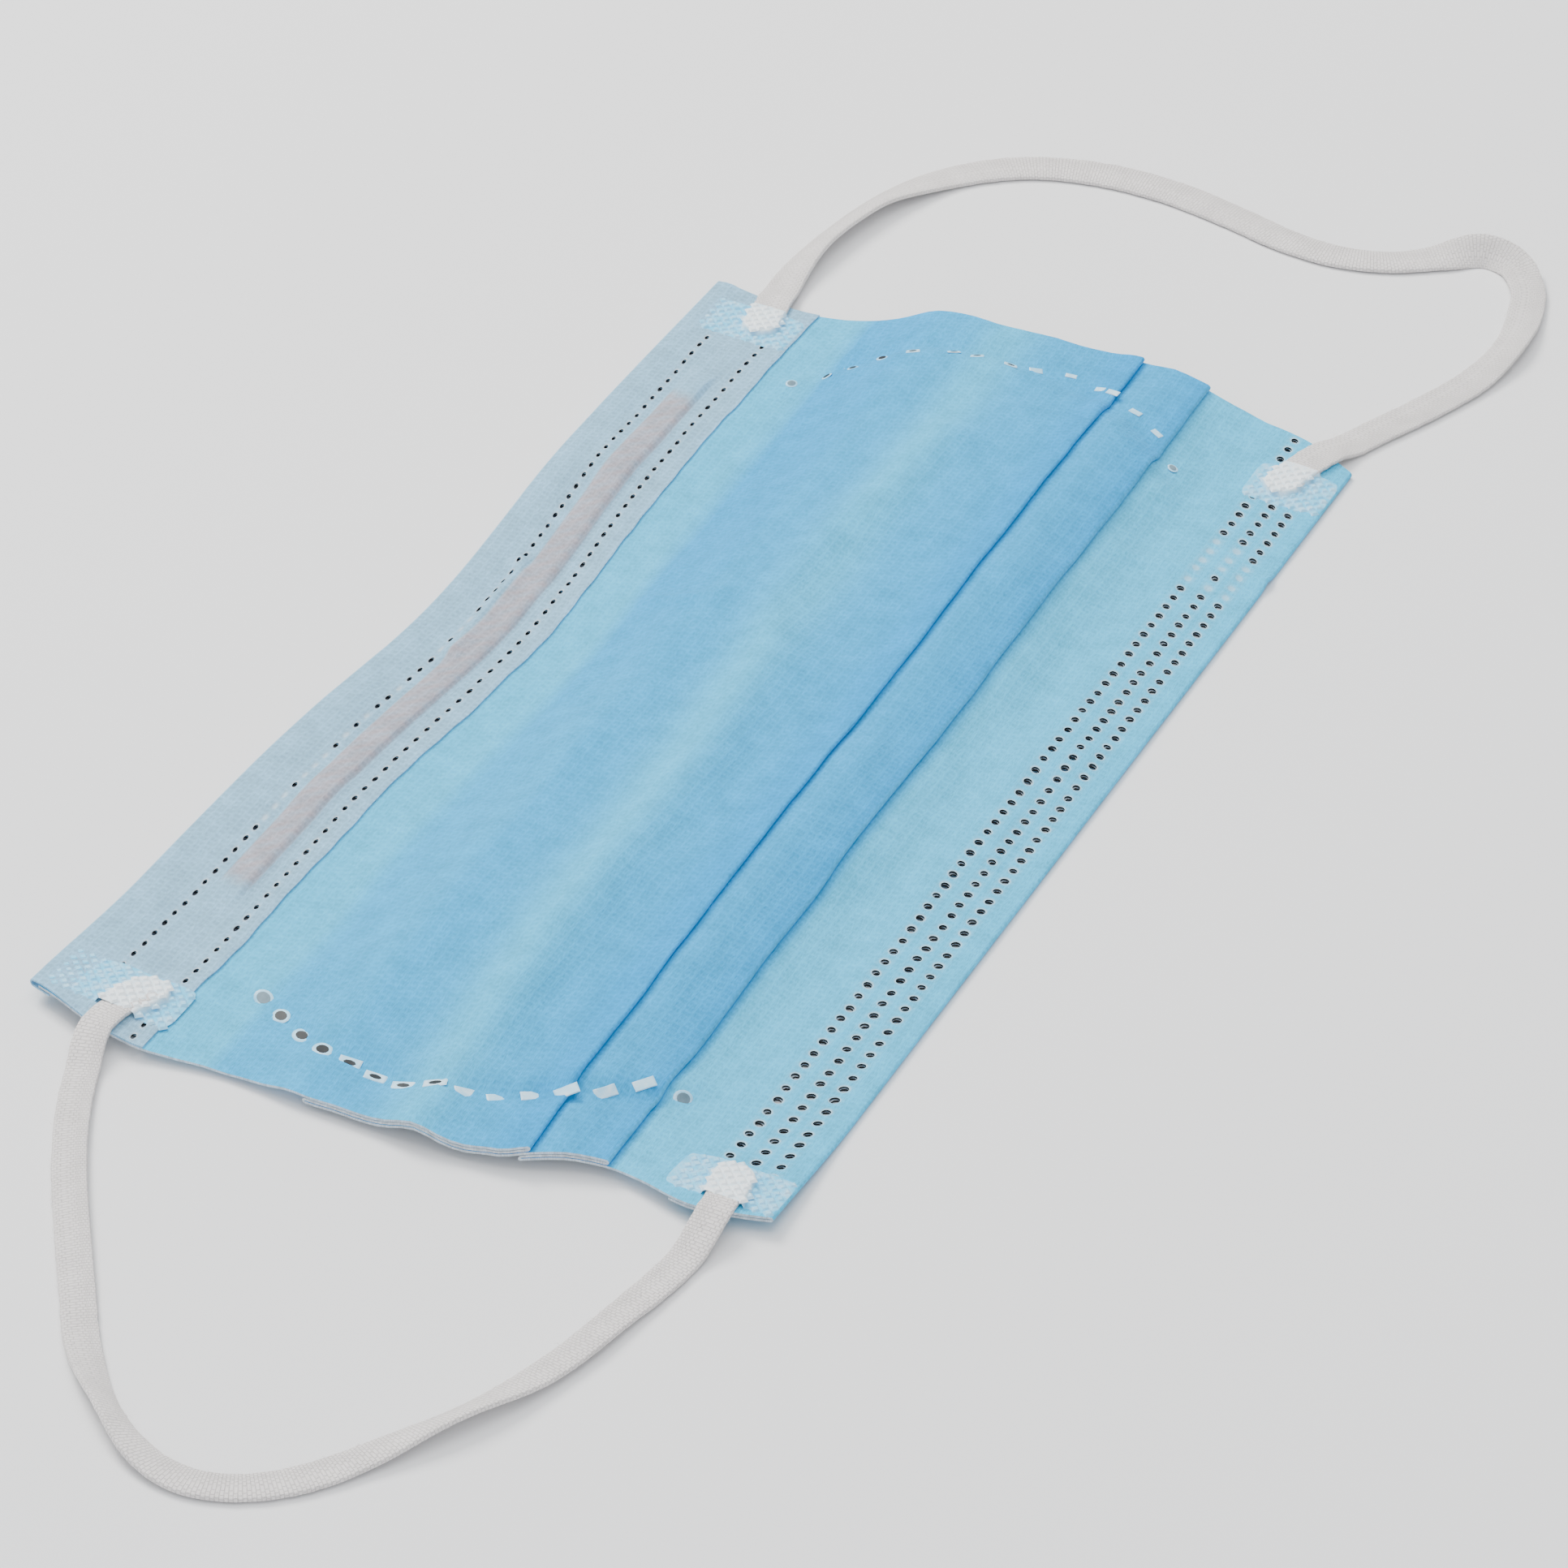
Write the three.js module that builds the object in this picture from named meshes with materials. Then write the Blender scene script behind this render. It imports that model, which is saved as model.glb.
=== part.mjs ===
// Surgical face mask lying flat, outer face up: a pleated panel with a folded chin hem,
// the inner ply turned over the nose edge as a header, a nose wire under it, two ear loops.
// Millimetres, +Z up. X runs along the mask, +Y points to the nose edge.
import * as THREE from 'three';
import { mergeVertices } from 'three/addons/utils/BufferGeometryUtils.js';

// ---- driving sizes -------------------------------------------------------------------
const WALL = 1.0;              // cloth wall, all plies together
const GAP = 0.3;               // air between layers and between pieces
const LAYER = WALL + GAP;      // from one folded layer to the next
const HALF_WIDTH = 44.6;       // nose edge and chin edge
const STATIONS = 26;           // sections along the mask
const LONGEST_STEP = 5.0;      // along a section, so that the dome stays smooth

const HEM_END = -33.0;         // inner edge of the chin hem folded under
const DOME_RISE = 3.6;         // the pleated middle stands clear of the table
const DOME = { chin_foot: -32, chin_top: -17, nose_top: 9, nose_foot: 26 };
const DOME_ALONG = { near_end: -90, near_top: -48, near_share: 0.25 };
const CORNER_LIFT = 1.6;       // the near corners curl up a little
const CORNER = { start_x: -62, full_x: -88, start_y: 20, full_y: 42 };
const NOSE_DENT = { depth: 2.6, x: 2, near_spread: 24, far_spread: 28, foot_y: 8, full_y: 28 };

const HEADER_EDGE = 28.7;      // raw edge of the turned-over ply
const HEADER_UNDER = 37.5;     // end of its short leg below
const WIRE = { near_x: -57, far_x: 61, y: 34.8, width: 4.0, thick: 1.0 };
const WIRE_ROOM = 1.4;         // the header rises over this width beside the wire
const WIRE_END = { full: 6, foot: 12 };   // and up to these lengths beyond its ends

const ELASTIC = { width: 4.4, thick: 1.0, steps: 76 };

// Short ends of the mask: where each end lies, from nose edge to chin edge.
const ENDS = [
  { y: 44.6, near: -85.0, far: 84.9 },
  { y: 31.0, near: -88.9, far: 83.6 },
  { y: 20.0, near: -87.6, far: 86.0 },
  { y: 6.0, near: -87.8, far: 86.9 },
  { y: -14.0, near: -86.6, far: 88.6 },
  { y: -25.0, near: -82.6, far: 88.9 },
  { y: -37.0, near: -84.4, far: 87.0 },
  { y: -44.6, near: -82.2, far: 83.4 },
];

// The pleated sheet from the nose edge to the chin hem. Each row is a bend: its y at the
// near end and at the far end of the mask, and the layer that it lies on (0 is the lowest).
const PLEATS = [
  { bend: 'nose edge', near: 42.8, far: 42.8, layer: 0 },
  { bend: 'foot of the top panel', near: 15.0, far: 19.0, layer: 0 },
  { bend: 'top panel over fold 1', near: 9.8, far: 13.8, layer: 2 },
  { bend: 'top panel before the ridge', near: 0.5, far: 7.5, layer: 2 },
  { bend: 'soft ridge', near: -3.5, far: 3.7, layer: 3 },
  { bend: 'top panel after the ridge', near: -7.5, far: -0.5, layer: 2 },
  { bend: 'top panel before pleat 1', near: -10.5, far: -7.0, layer: 2 },
  { bend: 'ridge of pleat 1', near: -15.3, far: -11.8, layer: 4 },
  { bend: 'edge of pleat 1, over', near: -17.0, far: -13.5, layer: 4 },
  { bend: 'edge of pleat 1, under', near: -17.0, far: -13.5, layer: 3 },
  { bend: 'return 1 below the ridge', near: -15.3, far: -11.8, layer: 3 },
  { bend: 'return 1', near: -10.5, far: -7.0, layer: 1 },
  { bend: 'fold 1, over', near: 8.5, far: 12.5, layer: 1 },
  { bend: 'fold 1, under', near: 8.5, far: 12.5, layer: 0 },
  { bend: 'panel 2 foot', near: -10.5, far: -7.0, layer: 0 },
  { bend: 'panel 2 over fold 2', near: -15.3, far: -11.8, layer: 2 },
  { bend: 'edge of pleat 2, over', near: -24.9, far: -22.5, layer: 2 },
  { bend: 'edge of pleat 2, under', near: -24.9, far: -22.5, layer: 1 },
  { bend: 'fold 2, over', near: -16.5, far: -13.0, layer: 1 },
  { bend: 'fold 2, under', near: -16.5, far: -13.0, layer: 0 },
  { bend: 'chin edge, over', near: -44.1, far: -44.1, layer: 0 },
  { bend: 'chin edge, under', near: -44.1, far: -44.1, layer: -1 },
  { bend: 'end of the chin hem', near: HEM_END, far: HEM_END, layer: -1 },
];

// Ear loops: the way each runs from its weld on the nose corner to its weld on the chin
// corner. Heights are those of the elastic's middle.
const NEAR_LOOP = [
  [-80.6, 31.9, 6.0], [-84.8, 33.3, 6.0], [-89.2, 33.6, 5.4], [-94.6, 32.0, 3.2],
  [-101.2, 29.2, 1.3], [-108.6, 25.2, 0.8], [-118.0, 19.2, 0.8], [-125.6, 14.1, 0.8],
  [-132.6, 9.3, 0.8], [-137.4, 5.1, 0.8], [-140.8, 1.2, 0.8], [-143.5, -2.8, 0.8],
  [-145.0, -6.7, 0.8], [-145.2, -10.6, 0.8], [-143.9, -14.6, 0.8], [-141.4, -18.2, 0.8],
  [-138.1, -21.2, 0.8], [-133.9, -24.0, 0.8], [-128.6, -27.1, 0.8], [-123.6, -29.9, 0.8],
  [-118.0, -32.5, 0.8], [-111.3, -34.7, 0.8], [-102.1, -36.6, 0.8], [-94.4, -38.0, 1.4],
  [-88.6, -38.6, 3.1], [-83.6, -38.6, 4.8], [-78.2, -37.8, 4.6],
];
const FAR_LOOP = [
  [77.6, 34.4, 4.5], [81.0, 34.9, 4.5], [85.0, 35.6, 4.2], [89.4, 36.2, 3.0],
  [95.2, 36.5, 1.4], [104.4, 35.8, 0.8], [116.0, 33.2, 0.8], [125.5, 28.1, 0.8],
  [131.9, 20.7, 0.8], [135.1, 11.0, 0.8], [135.4, 2.2, 0.8], [133.6, -8.2, 0.8],
  [131.6, -16.8, 0.8], [131.4, -23.0, 0.8], [133.4, -29.6, 0.8], [137.6, -35.6, 0.8],
  [140.6, -40.4, 0.8], [140.2, -44.8, 0.8], [136.6, -48.0, 0.8], [130.2, -50.1, 0.8],
  [121.2, -51.2, 0.8], [112.6, -50.2, 0.8], [102.0, -46.7, 0.9], [93.6, -43.2, 1.8],
  [87.6, -40.9, 3.0], [82.4, -39.2, 3.2], [76.4, -37.8, 3.2],
];

// ---- the shape that the cloth takes ----------------------------------------------------
function ramp(from, to, value) {
  const share = THREE.MathUtils.clamp((value - from) / (to - from), 0, 1);
  return share * share * (3 - 2 * share);
}

function domeHeight(x, y) {
  const across = ramp(DOME.chin_foot, DOME.chin_top, y) * ramp(DOME.nose_foot, DOME.nose_top, y);
  const share = ramp(DOME_ALONG.near_end, DOME_ALONG.near_top, x);
  const along = THREE.MathUtils.lerp(DOME_ALONG.near_share, 1, share);
  return DOME_RISE * across * along;
}

function cornerHeight(x, y) {
  const along = ramp(CORNER.start_x, CORNER.full_x, x);
  return CORNER_LIFT * along * ramp(CORNER.start_y, CORNER.full_y, Math.abs(y));
}

function noseDent(x, y) {
  const spread = x < NOSE_DENT.x ? NOSE_DENT.near_spread : NOSE_DENT.far_spread;
  const fade = Math.exp(-(((x - NOSE_DENT.x) / spread) ** 2));
  return NOSE_DENT.depth * fade * ramp(NOSE_DENT.foot_y, NOSE_DENT.full_y, y);
}

function endPosition(side, y) {
  const last = ENDS.length - 2;
  const found = ENDS.findIndex((row, i) => i <= last && y >= ENDS[i + 1].y);
  const i = found < 0 ? last : found;
  const share = (ENDS[i].y - y) / (ENDS[i].y - ENDS[i + 1].y);
  return THREE.MathUtils.lerp(ENDS[i][side], ENDS[i + 1][side], THREE.MathUtils.clamp(share, 0, 1));
}

// A point of the flat section at y and z, placed at a share of the way along the mask.
function placeOnMask(share, y, z) {
  const x = THREE.MathUtils.lerp(endPosition('near', y), endPosition('far', y), share);
  const height = z + domeHeight(x, y) + cornerHeight(x, y);
  return new THREE.Vector3(x, y - noseDent(x, y), height);
}

// ---- sheets made from a section -----------------------------------------------------------
// Both faces of a wall of one thickness, with mitred corners, around a middle line.
function wallFaces(line, wall) {
  const direction = (i) => line[i + 1].clone().sub(line[i]).normalize();
  const normal = (d) => new THREE.Vector2(-d.y, d.x);
  const left = [];
  const right = [];
  for (let i = 0; i < line.length; i += 1) {
    const before = normal(direction(Math.max(0, i - 1)));
    const after = normal(direction(Math.min(line.length - 2, i)));
    const mitre = before.clone().add(after).normalize();
    const reach = wall / 2 / mitre.dot(after);
    left.push(line[i].clone().addScaledVector(mitre, reach));
    right.push(line[i].clone().addScaledVector(mitre, -reach));
  }
  return { left, right };
}

// A closed solid from rings of the same count of points; each ring is the two faces of a
// wall, so the ends are closed by strips between them.
function solidFromRings(rings, faceCount) {
  const ringSize = faceCount * 2;
  const positions = rings.flat().flatMap((p) => [p.x, p.y, p.z]);
  const index = [];
  const quad = (a, b, c, d) => index.push(a, b, c, a, c, d);
  for (let s = 0; s < rings.length - 1; s += 1) {
    for (let i = 0; i < ringSize; i += 1) {
      const j = (i + 1) % ringSize;
      const here = s * ringSize;
      const next = here + ringSize;
      quad(here + i, next + i, next + j, here + j);
    }
  }
  const end = (rings.length - 1) * ringSize;
  for (let i = 0; i < faceCount - 1; i += 1) {
    const opposite = ringSize - 1 - i;
    quad(i, i + 1, opposite - 1, opposite);
    quad(end + opposite, end + opposite - 1, end + i + 1, end + i);
  }
  const geometry = new THREE.BufferGeometry();
  geometry.setAttribute('position', new THREE.Float32BufferAttribute(positions, 3));
  geometry.setIndex(index);
  return geometry;
}

// lineAt(share) gives the middle line of the section as Vector2 of y and z.
function clothSheet(lineAt, fromShare, toShare, stations) {
  const rings = [];
  let faceCount = 0;
  for (let s = 0; s <= stations; s += 1) {
    const share = THREE.MathUtils.lerp(fromShare, toShare, s / stations);
    const { left, right } = wallFaces(lineAt(share), WALL);
    faceCount = left.length;
    rings.push([...left, ...right.reverse()].map((p) => placeOnMask(share, p.x, p.y)));
  }
  return solidFromRings(rings, faceCount);
}

function layerHeight(layer) {
  return WALL / 2 + (layer + 1) * LAYER;
}

// ---- pieces ----------------------------------------------------------------------------------
function pleatedPanel() {
  const middle = PLEATS.map((row) => new THREE.Vector2((row.near + row.far) / 2, layerHeight(row.layer)));
  const counts = middle.slice(1).map((p, i) => Math.ceil(middle[i].distanceTo(p) / LONGEST_STEP));
  const lineAt = (share) => {
    const bends = PLEATS.map((row) => {
      const y = THREE.MathUtils.lerp(row.near, row.far, share);
      return new THREE.Vector2(y, layerHeight(row.layer));
    });
    const line = [bends[0]];
    counts.forEach((count, i) => {
      for (let k = 1; k <= count; k += 1) {
        line.push(bends[i].clone().lerp(bends[i + 1], k / count));
      }
    });
    return line;
  };
  return clothSheet(lineAt, 0, 1, STATIONS);
}

function noseHeader() {
  const onPanel = layerHeight(1);
  const noseSide = WIRE.y + WIRE.width / 2 + GAP;
  const chinSide = WIRE.y - WIRE.width / 2 - GAP;
  const fold = HALF_WIDTH - WALL / 2;
  const lineAt = (share) => {
    const x = placeOnMask(share, WIRE.y, 0).x;
    const nearRise = ramp(WIRE.near_x - WIRE_END.foot, WIRE.near_x - WIRE_END.full, x);
    const farRise = ramp(WIRE.far_x + WIRE_END.foot, WIRE.far_x + WIRE_END.full, x);
    const raised = onPanel + (WIRE.thick + GAP) * nearRise * farRise;
    const bends = [
      [HEADER_EDGE, onPanel], [chinSide - WIRE_ROOM, onPanel], [chinSide, raised], [noseSide, raised],
      [noseSide + WIRE_ROOM, onPanel], [fold, onPanel], [fold, WALL / 2], [HEADER_UNDER, WALL / 2],
    ];
    return bends.map(([y, z]) => new THREE.Vector2(y, z)).reverse();
  };
  return clothSheet(lineAt, 0, 1, STATIONS);
}

function noseWire() {
  const bottom = layerHeight(0) + WALL / 2 + GAP;
  const halfWidth = WIRE.width / 2;
  const length = WIRE.far_x - WIRE.near_x;
  const stations = 20;
  const rings = [];
  for (let s = 0; s <= stations; s += 1) {
    const x = WIRE.near_x + (length * s) / stations;
    const dent = noseDent(x, WIRE.y);
    const rise = domeHeight(x, WIRE.y) + cornerHeight(x, WIRE.y);
    const corner = (y, z) => new THREE.Vector3(x, WIRE.y + y - dent, z + rise);
    rings.push([
      corner(-halfWidth, bottom + WIRE.thick), corner(halfWidth, bottom + WIRE.thick),
      corner(halfWidth, bottom), corner(-halfWidth, bottom),
    ]);
  }
  return solidFromRings(rings, 2);
}

// A route whose frames keep the elastic's flat side level.
class FlatRoute extends THREE.CatmullRomCurve3 {
  computeFrenetFrames(segments) {
    const up = new THREE.Vector3(0, 0, 1);
    const tangents = [];
    const normals = [];
    const binormals = [];
    for (let i = 0; i <= segments; i += 1) {
      const tangent = this.getTangentAt(i / segments).normalize();
      const side = new THREE.Vector3().crossVectors(up, tangent).normalize();
      tangents.push(tangent);
      normals.push(side);
      binormals.push(new THREE.Vector3().crossVectors(tangent, side));
    }
    return { tangents, normals, binormals };
  }
}

function elasticSection() {
  const w = ELASTIC.width / 2;
  const t = ELASTIC.thick / 2;
  const round = t / 2;
  return new THREE.Shape([
    new THREE.Vector2(w, -round), new THREE.Vector2(w, round),
    new THREE.Vector2(w - round, t), new THREE.Vector2(-w + round, t),
    new THREE.Vector2(-w, round), new THREE.Vector2(-w, -round),
    new THREE.Vector2(-w + round, -t), new THREE.Vector2(w - round, -t),
  ]);
}

function earLoop(points) {
  const route = new FlatRoute(points.map((p) => new THREE.Vector3(...p)), false, 'centripetal');
  const extruded = new THREE.ExtrudeGeometry(elasticSection(), {
    steps: ELASTIC.steps,
    bevelEnabled: false,
    extrudePath: route,
  });
  extruded.deleteAttribute('normal');
  extruded.deleteAttribute('uv');
  return mergeVertices(extruded, 1e-3);
}

// ---- assembly --------------------------------------------------------------------------------
const FINISHES = {
  blueNonwoven: { color: 0x8cc3dc, roughness: 0.85, metalness: 0 },
  whiteNonwoven: { color: 0xc4d3dc, roughness: 0.85, metalness: 0 },
  coatedWire: { color: 0xc9b6b2, roughness: 0.5, metalness: 0 },
  knittedElastic: { color: 0xd6d2d0, roughness: 0.95, metalness: 0 },
};

function addPiece(group, name, geometry, finish) {
  const mesh = new THREE.Mesh(geometry, new THREE.MeshStandardMaterial(finish));
  mesh.name = name;
  group.add(mesh);
}

const mask = new THREE.Group();
addPiece(mask, 'mask_panel', pleatedPanel(), FINISHES.blueNonwoven);
addPiece(mask, 'nose_header', noseHeader(), FINISHES.whiteNonwoven);
addPiece(mask, 'nose_wire', noseWire(), FINISHES.coatedWire);
addPiece(mask, 'ear_loop_near', earLoop(NEAR_LOOP), FINISHES.knittedElastic);
addPiece(mask, 'ear_loop_far', earLoop(FAR_LOOP), FINISHES.knittedElastic);

export default mask;
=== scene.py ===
"""Surgical face mask lying flat, outer face up, with its two ear loops beside it.

Sizes are in millimetres in the CAD frame, and meshes are turned to metres as they are made.
"""

import logging
import math
from dataclasses import dataclass, field
from enum import Enum
from typing import Any, Callable, Sequence

import bpy
import numpy as np
from bpy.types import Material, Node, NodeSocket, Object
from mathutils import Matrix, Vector


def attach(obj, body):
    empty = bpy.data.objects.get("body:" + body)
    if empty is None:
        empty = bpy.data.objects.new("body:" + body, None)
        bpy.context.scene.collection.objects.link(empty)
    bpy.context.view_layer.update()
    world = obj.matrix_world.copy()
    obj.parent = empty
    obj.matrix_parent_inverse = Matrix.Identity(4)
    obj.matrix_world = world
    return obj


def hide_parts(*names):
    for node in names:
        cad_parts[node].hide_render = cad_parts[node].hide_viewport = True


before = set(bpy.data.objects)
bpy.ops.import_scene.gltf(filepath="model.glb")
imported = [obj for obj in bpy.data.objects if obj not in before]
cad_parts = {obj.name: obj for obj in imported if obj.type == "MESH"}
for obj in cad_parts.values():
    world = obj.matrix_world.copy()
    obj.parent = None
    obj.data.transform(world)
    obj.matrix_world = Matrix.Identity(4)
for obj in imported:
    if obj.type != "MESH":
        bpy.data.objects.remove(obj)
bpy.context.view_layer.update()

LOG = logging.getLogger("face_mask")
MM = 0.001
BODY = "root"
TABLE = 0.01          # the least height of the elastic over the table
CELLS = 75            # weld pitches along the mask
HALF_CELL = 1.14      # half a weld pitch, across the mask
BORDER = 44.05        # the folded chin edge
SEAM_GAP = 0.05       # air between two plies that lie on each other
WIRE_Y = 33.8         # the wire's middle at the near end
WIRE_GAIN = 2.0       # how much further towards the nose it lies at the far end
WIRE_X = (-57.0, 61.0)

Point = tuple[float, float]


class Face(Enum):
    """Material slots of a sheet of cloth."""

    OUTER = 0
    INNER = 1
    RIM = 2
    # The walls of the weld holes: near-black painted shade for the dark of the holes.
    SHADED_HOLE_WALL = 3


# ---- small helpers -----------------------------------------------------------------


def linear(colour: str) -> tuple[float, float, float, float]:
    """Turns an sRGB colour into linear light.

    Args:
        colour: six hex digits after a hash.

    Returns:
        Red, green, blue and an alpha of one.
    """
    channels = [int(colour[i:i + 2], 16) / 255 for i in (1, 3, 5)]
    flat = [c / 12.92 if c <= 0.04045 else ((c + 0.055) / 1.055) ** 2.4 for c in channels]
    return flat[0], flat[1], flat[2], 1.0


def ramp(start: float, end: float, value: np.ndarray) -> np.ndarray:
    """Rises smoothly from 0 at start to 1 at end.

    Args:
        start: where the rise begins.
        end: where it is complete; may be less than start.
        value: where to read it.

    Returns:
        The share of the rise at each value.
    """
    share = np.clip((np.asarray(value, float) - start) / (end - start), 0, 1)
    return share * share * (3 - 2 * share)


def smooth_table(value: np.ndarray, keys: Sequence[float], rows: Sequence[float]) -> np.ndarray:
    """Reads a table through a smooth curve.

    Args:
        value: where to read it.
        keys: rising positions of the rows.
        rows: the value at each key.

    Returns:
        The value of the curve at each place.
    """
    keys, rows = np.asarray(keys, float), np.asarray(rows, float)
    slopes = np.gradient(rows, keys)
    i = np.clip(np.searchsorted(keys, value) - 1, 0, len(keys) - 2)
    span = keys[i + 1] - keys[i]
    t = np.clip((value - keys[i]) / span, 0, 1)
    return ((2 * t**3 - 3 * t**2 + 1) * rows[i] + (t**3 - 2 * t**2 + t) * span * slopes[i]
            + (3 * t**2 - 2 * t**3) * rows[i + 1] + (t**3 - t**2) * span * slopes[i + 1])


def distance_to_line(x: np.ndarray, y: np.ndarray, line: Sequence[Point]) -> np.ndarray:
    """Measures how far points are from a line of straight pieces.

    Args:
        x: positions along the mask.
        y: positions across it.
        line: the corners of the line.

    Returns:
        The least distance of each point.
    """
    best = np.full(np.shape(x), 1e9)
    for (x0, y0), (x1, y1) in zip(line, line[1:]):
        dx, dy = x1 - x0, y1 - y0
        t = np.clip(((x - x0) * dx + (y - y0) * dy) / (dx * dx + dy * dy), 0, 1)
        best = np.minimum(best, np.hypot(x - x0 - t * dx, y - y0 - t * dy))
    return best


def make_object(name: str, points: np.ndarray, faces: Sequence[Sequence[int]],
                materials: Sequence[Material], slots: Sequence[int] | None = None,
                uv: np.ndarray | None = None, attributes: dict[str, np.ndarray] | None = None,
                sharp: float = 50.0) -> Object:
    """Makes a mesh object at the origin from points in millimetres.

    Args:
        name: the piece's name.
        points: one row of x, y and z a point.
        faces: point numbers round each face.
        materials: its material slots.
        slots: the slot of each face.
        uv: cloth coordinates in millimetres, one row a point.
        attributes: named values, one a point.
        sharp: edges that turn more than this many degrees are shaded as corners.

    Returns:
        The new object, linked to the scene.
    """
    used = np.arange(len(points))
    if faces:
        used = np.unique(np.concatenate([np.asarray(f) for f in faces]))
    renumber = np.zeros(len(points), int)
    renumber[used] = np.arange(len(used))
    mesh = bpy.data.meshes.new(name)
    mesh.from_pydata((np.asarray(points)[used] * MM).tolist(), [],
                     [renumber[list(f)].tolist() for f in faces])
    for material in materials:
        mesh.materials.append(material)
    if slots is not None:
        mesh.polygons.foreach_set("material_index", slots)
    if uv is not None:
        corners = np.zeros(len(mesh.loops), int)
        mesh.loops.foreach_get("vertex_index", corners)
        layer = mesh.uv_layers.new(name="cloth")
        layer.data.foreach_set("uv", np.asarray(uv)[used][corners].astype(np.float32).ravel())
    for key, values in (attributes or {}).items():
        data = mesh.attributes.new(key, "FLOAT", "POINT").data
        data.foreach_set("value", np.asarray(values, np.float32)[used])
    mesh.polygons.foreach_set("use_smooth", [True] * len(mesh.polygons))
    mesh.set_sharp_from_angle(angle=math.radians(sharp))
    mesh.update()
    thing = bpy.data.objects.new(name, mesh)
    bpy.context.scene.collection.objects.link(thing)
    return thing


def tube_faces(rings: int, count: int) -> list[Sequence[int]]:
    """Joins rings of points to a tube with both ends closed.

    Args:
        rings: how many rings there are.
        count: points in each.

    Returns:
        The faces.
    """
    faces: list[Sequence[int]] = []
    for i in range(rings - 1):
        for k in range(count):
            a, b = i * count + k, i * count + (k + 1) % count
            faces.append((a, b, b + count, a + count))
    faces.append(list(range(count))[::-1])
    faces.append([(rings - 1) * count + k for k in range(count)])
    return faces


def settle(piece: Object, node: str = "") -> None:
    """Lets a piece ride on the mask, hides the CAD node that it stands for, and logs it.

    Args:
        piece: the finished piece.
        node: the CAD node that it stands for, if any.
    """
    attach(piece, BODY)
    if node:
        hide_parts(node)
    LOG.info("%s: %d faces", piece.name, len(piece.data.polygons))


# ---- finishes ----------------------------------------------------------------------


class NodeDesk:
    """Adds nodes to a tree, each with its settings and links."""

    def __init__(self, tree: bpy.types.NodeTree) -> None:
        """Takes the tree that the nodes go into."""
        self.tree = tree

    def add(self, kind: str, inputs: dict[Any, Any] | None = None, **settings: Any) -> Node:
        """Adds one node.

        Args:
            kind: the node's type.
            inputs: input name or number to a value or an output socket.
            **settings: the node's own properties.

        Returns:
            The new node.
        """
        node = self.tree.nodes.new(kind)
        for key, value in settings.items():
            setattr(node, key, value)
        for key, value in (inputs or {}).items():
            if isinstance(value, NodeSocket):
                self.tree.links.new(value, node.inputs[key])
            else:
                node.inputs[key].default_value = value
        return node

    def calc(self, a: Any, b: Any, operation: str = "ADD") -> NodeSocket:
        """Works out one value from two.

        Args:
            a: first value or socket.
            b: second value or socket.
            operation: the node's operation.

        Returns:
            Its output.
        """
        return self.add("ShaderNodeMath", {0: a, 1: b}, operation=operation).outputs[0]

    def blend(self, share: Any, a: Any, b: Any) -> NodeSocket:
        """Mixes two colours.

        Args:
            share: how much of b, a value or a socket.
            a: first colour or socket.
            b: second colour or socket.

        Returns:
            The mixed colour.
        """
        return self.add("ShaderNodeMix", {0: share, 6: a, 7: b}, data_type="RGBA").outputs[2]

    def spread(self, value: Any, low: float, high: float,
               start: float = 0.0, end: float = 1.0) -> NodeSocket:
        """Maps a value from one range to another, held at the ends.

        Args:
            value: the socket to map.
            low: start of its range.
            high: end of its range.
            start: the result at low.
            end: the result at high.

        Returns:
            The mapped value.
        """
        return self.add("ShaderNodeMapRange", {0: value, 1: low, 2: high, 3: start, 4: end}).outputs[0]


def new_material(name: str) -> tuple[Material, NodeDesk]:
    """Makes an empty material.

    Args:
        name: the material's name.

    Returns:
        The material and a desk for its nodes.
    """
    material = bpy.data.materials.new(name)
    material.use_nodes = True
    material.node_tree.nodes.clear()
    return material, NodeDesk(material.node_tree)


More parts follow.
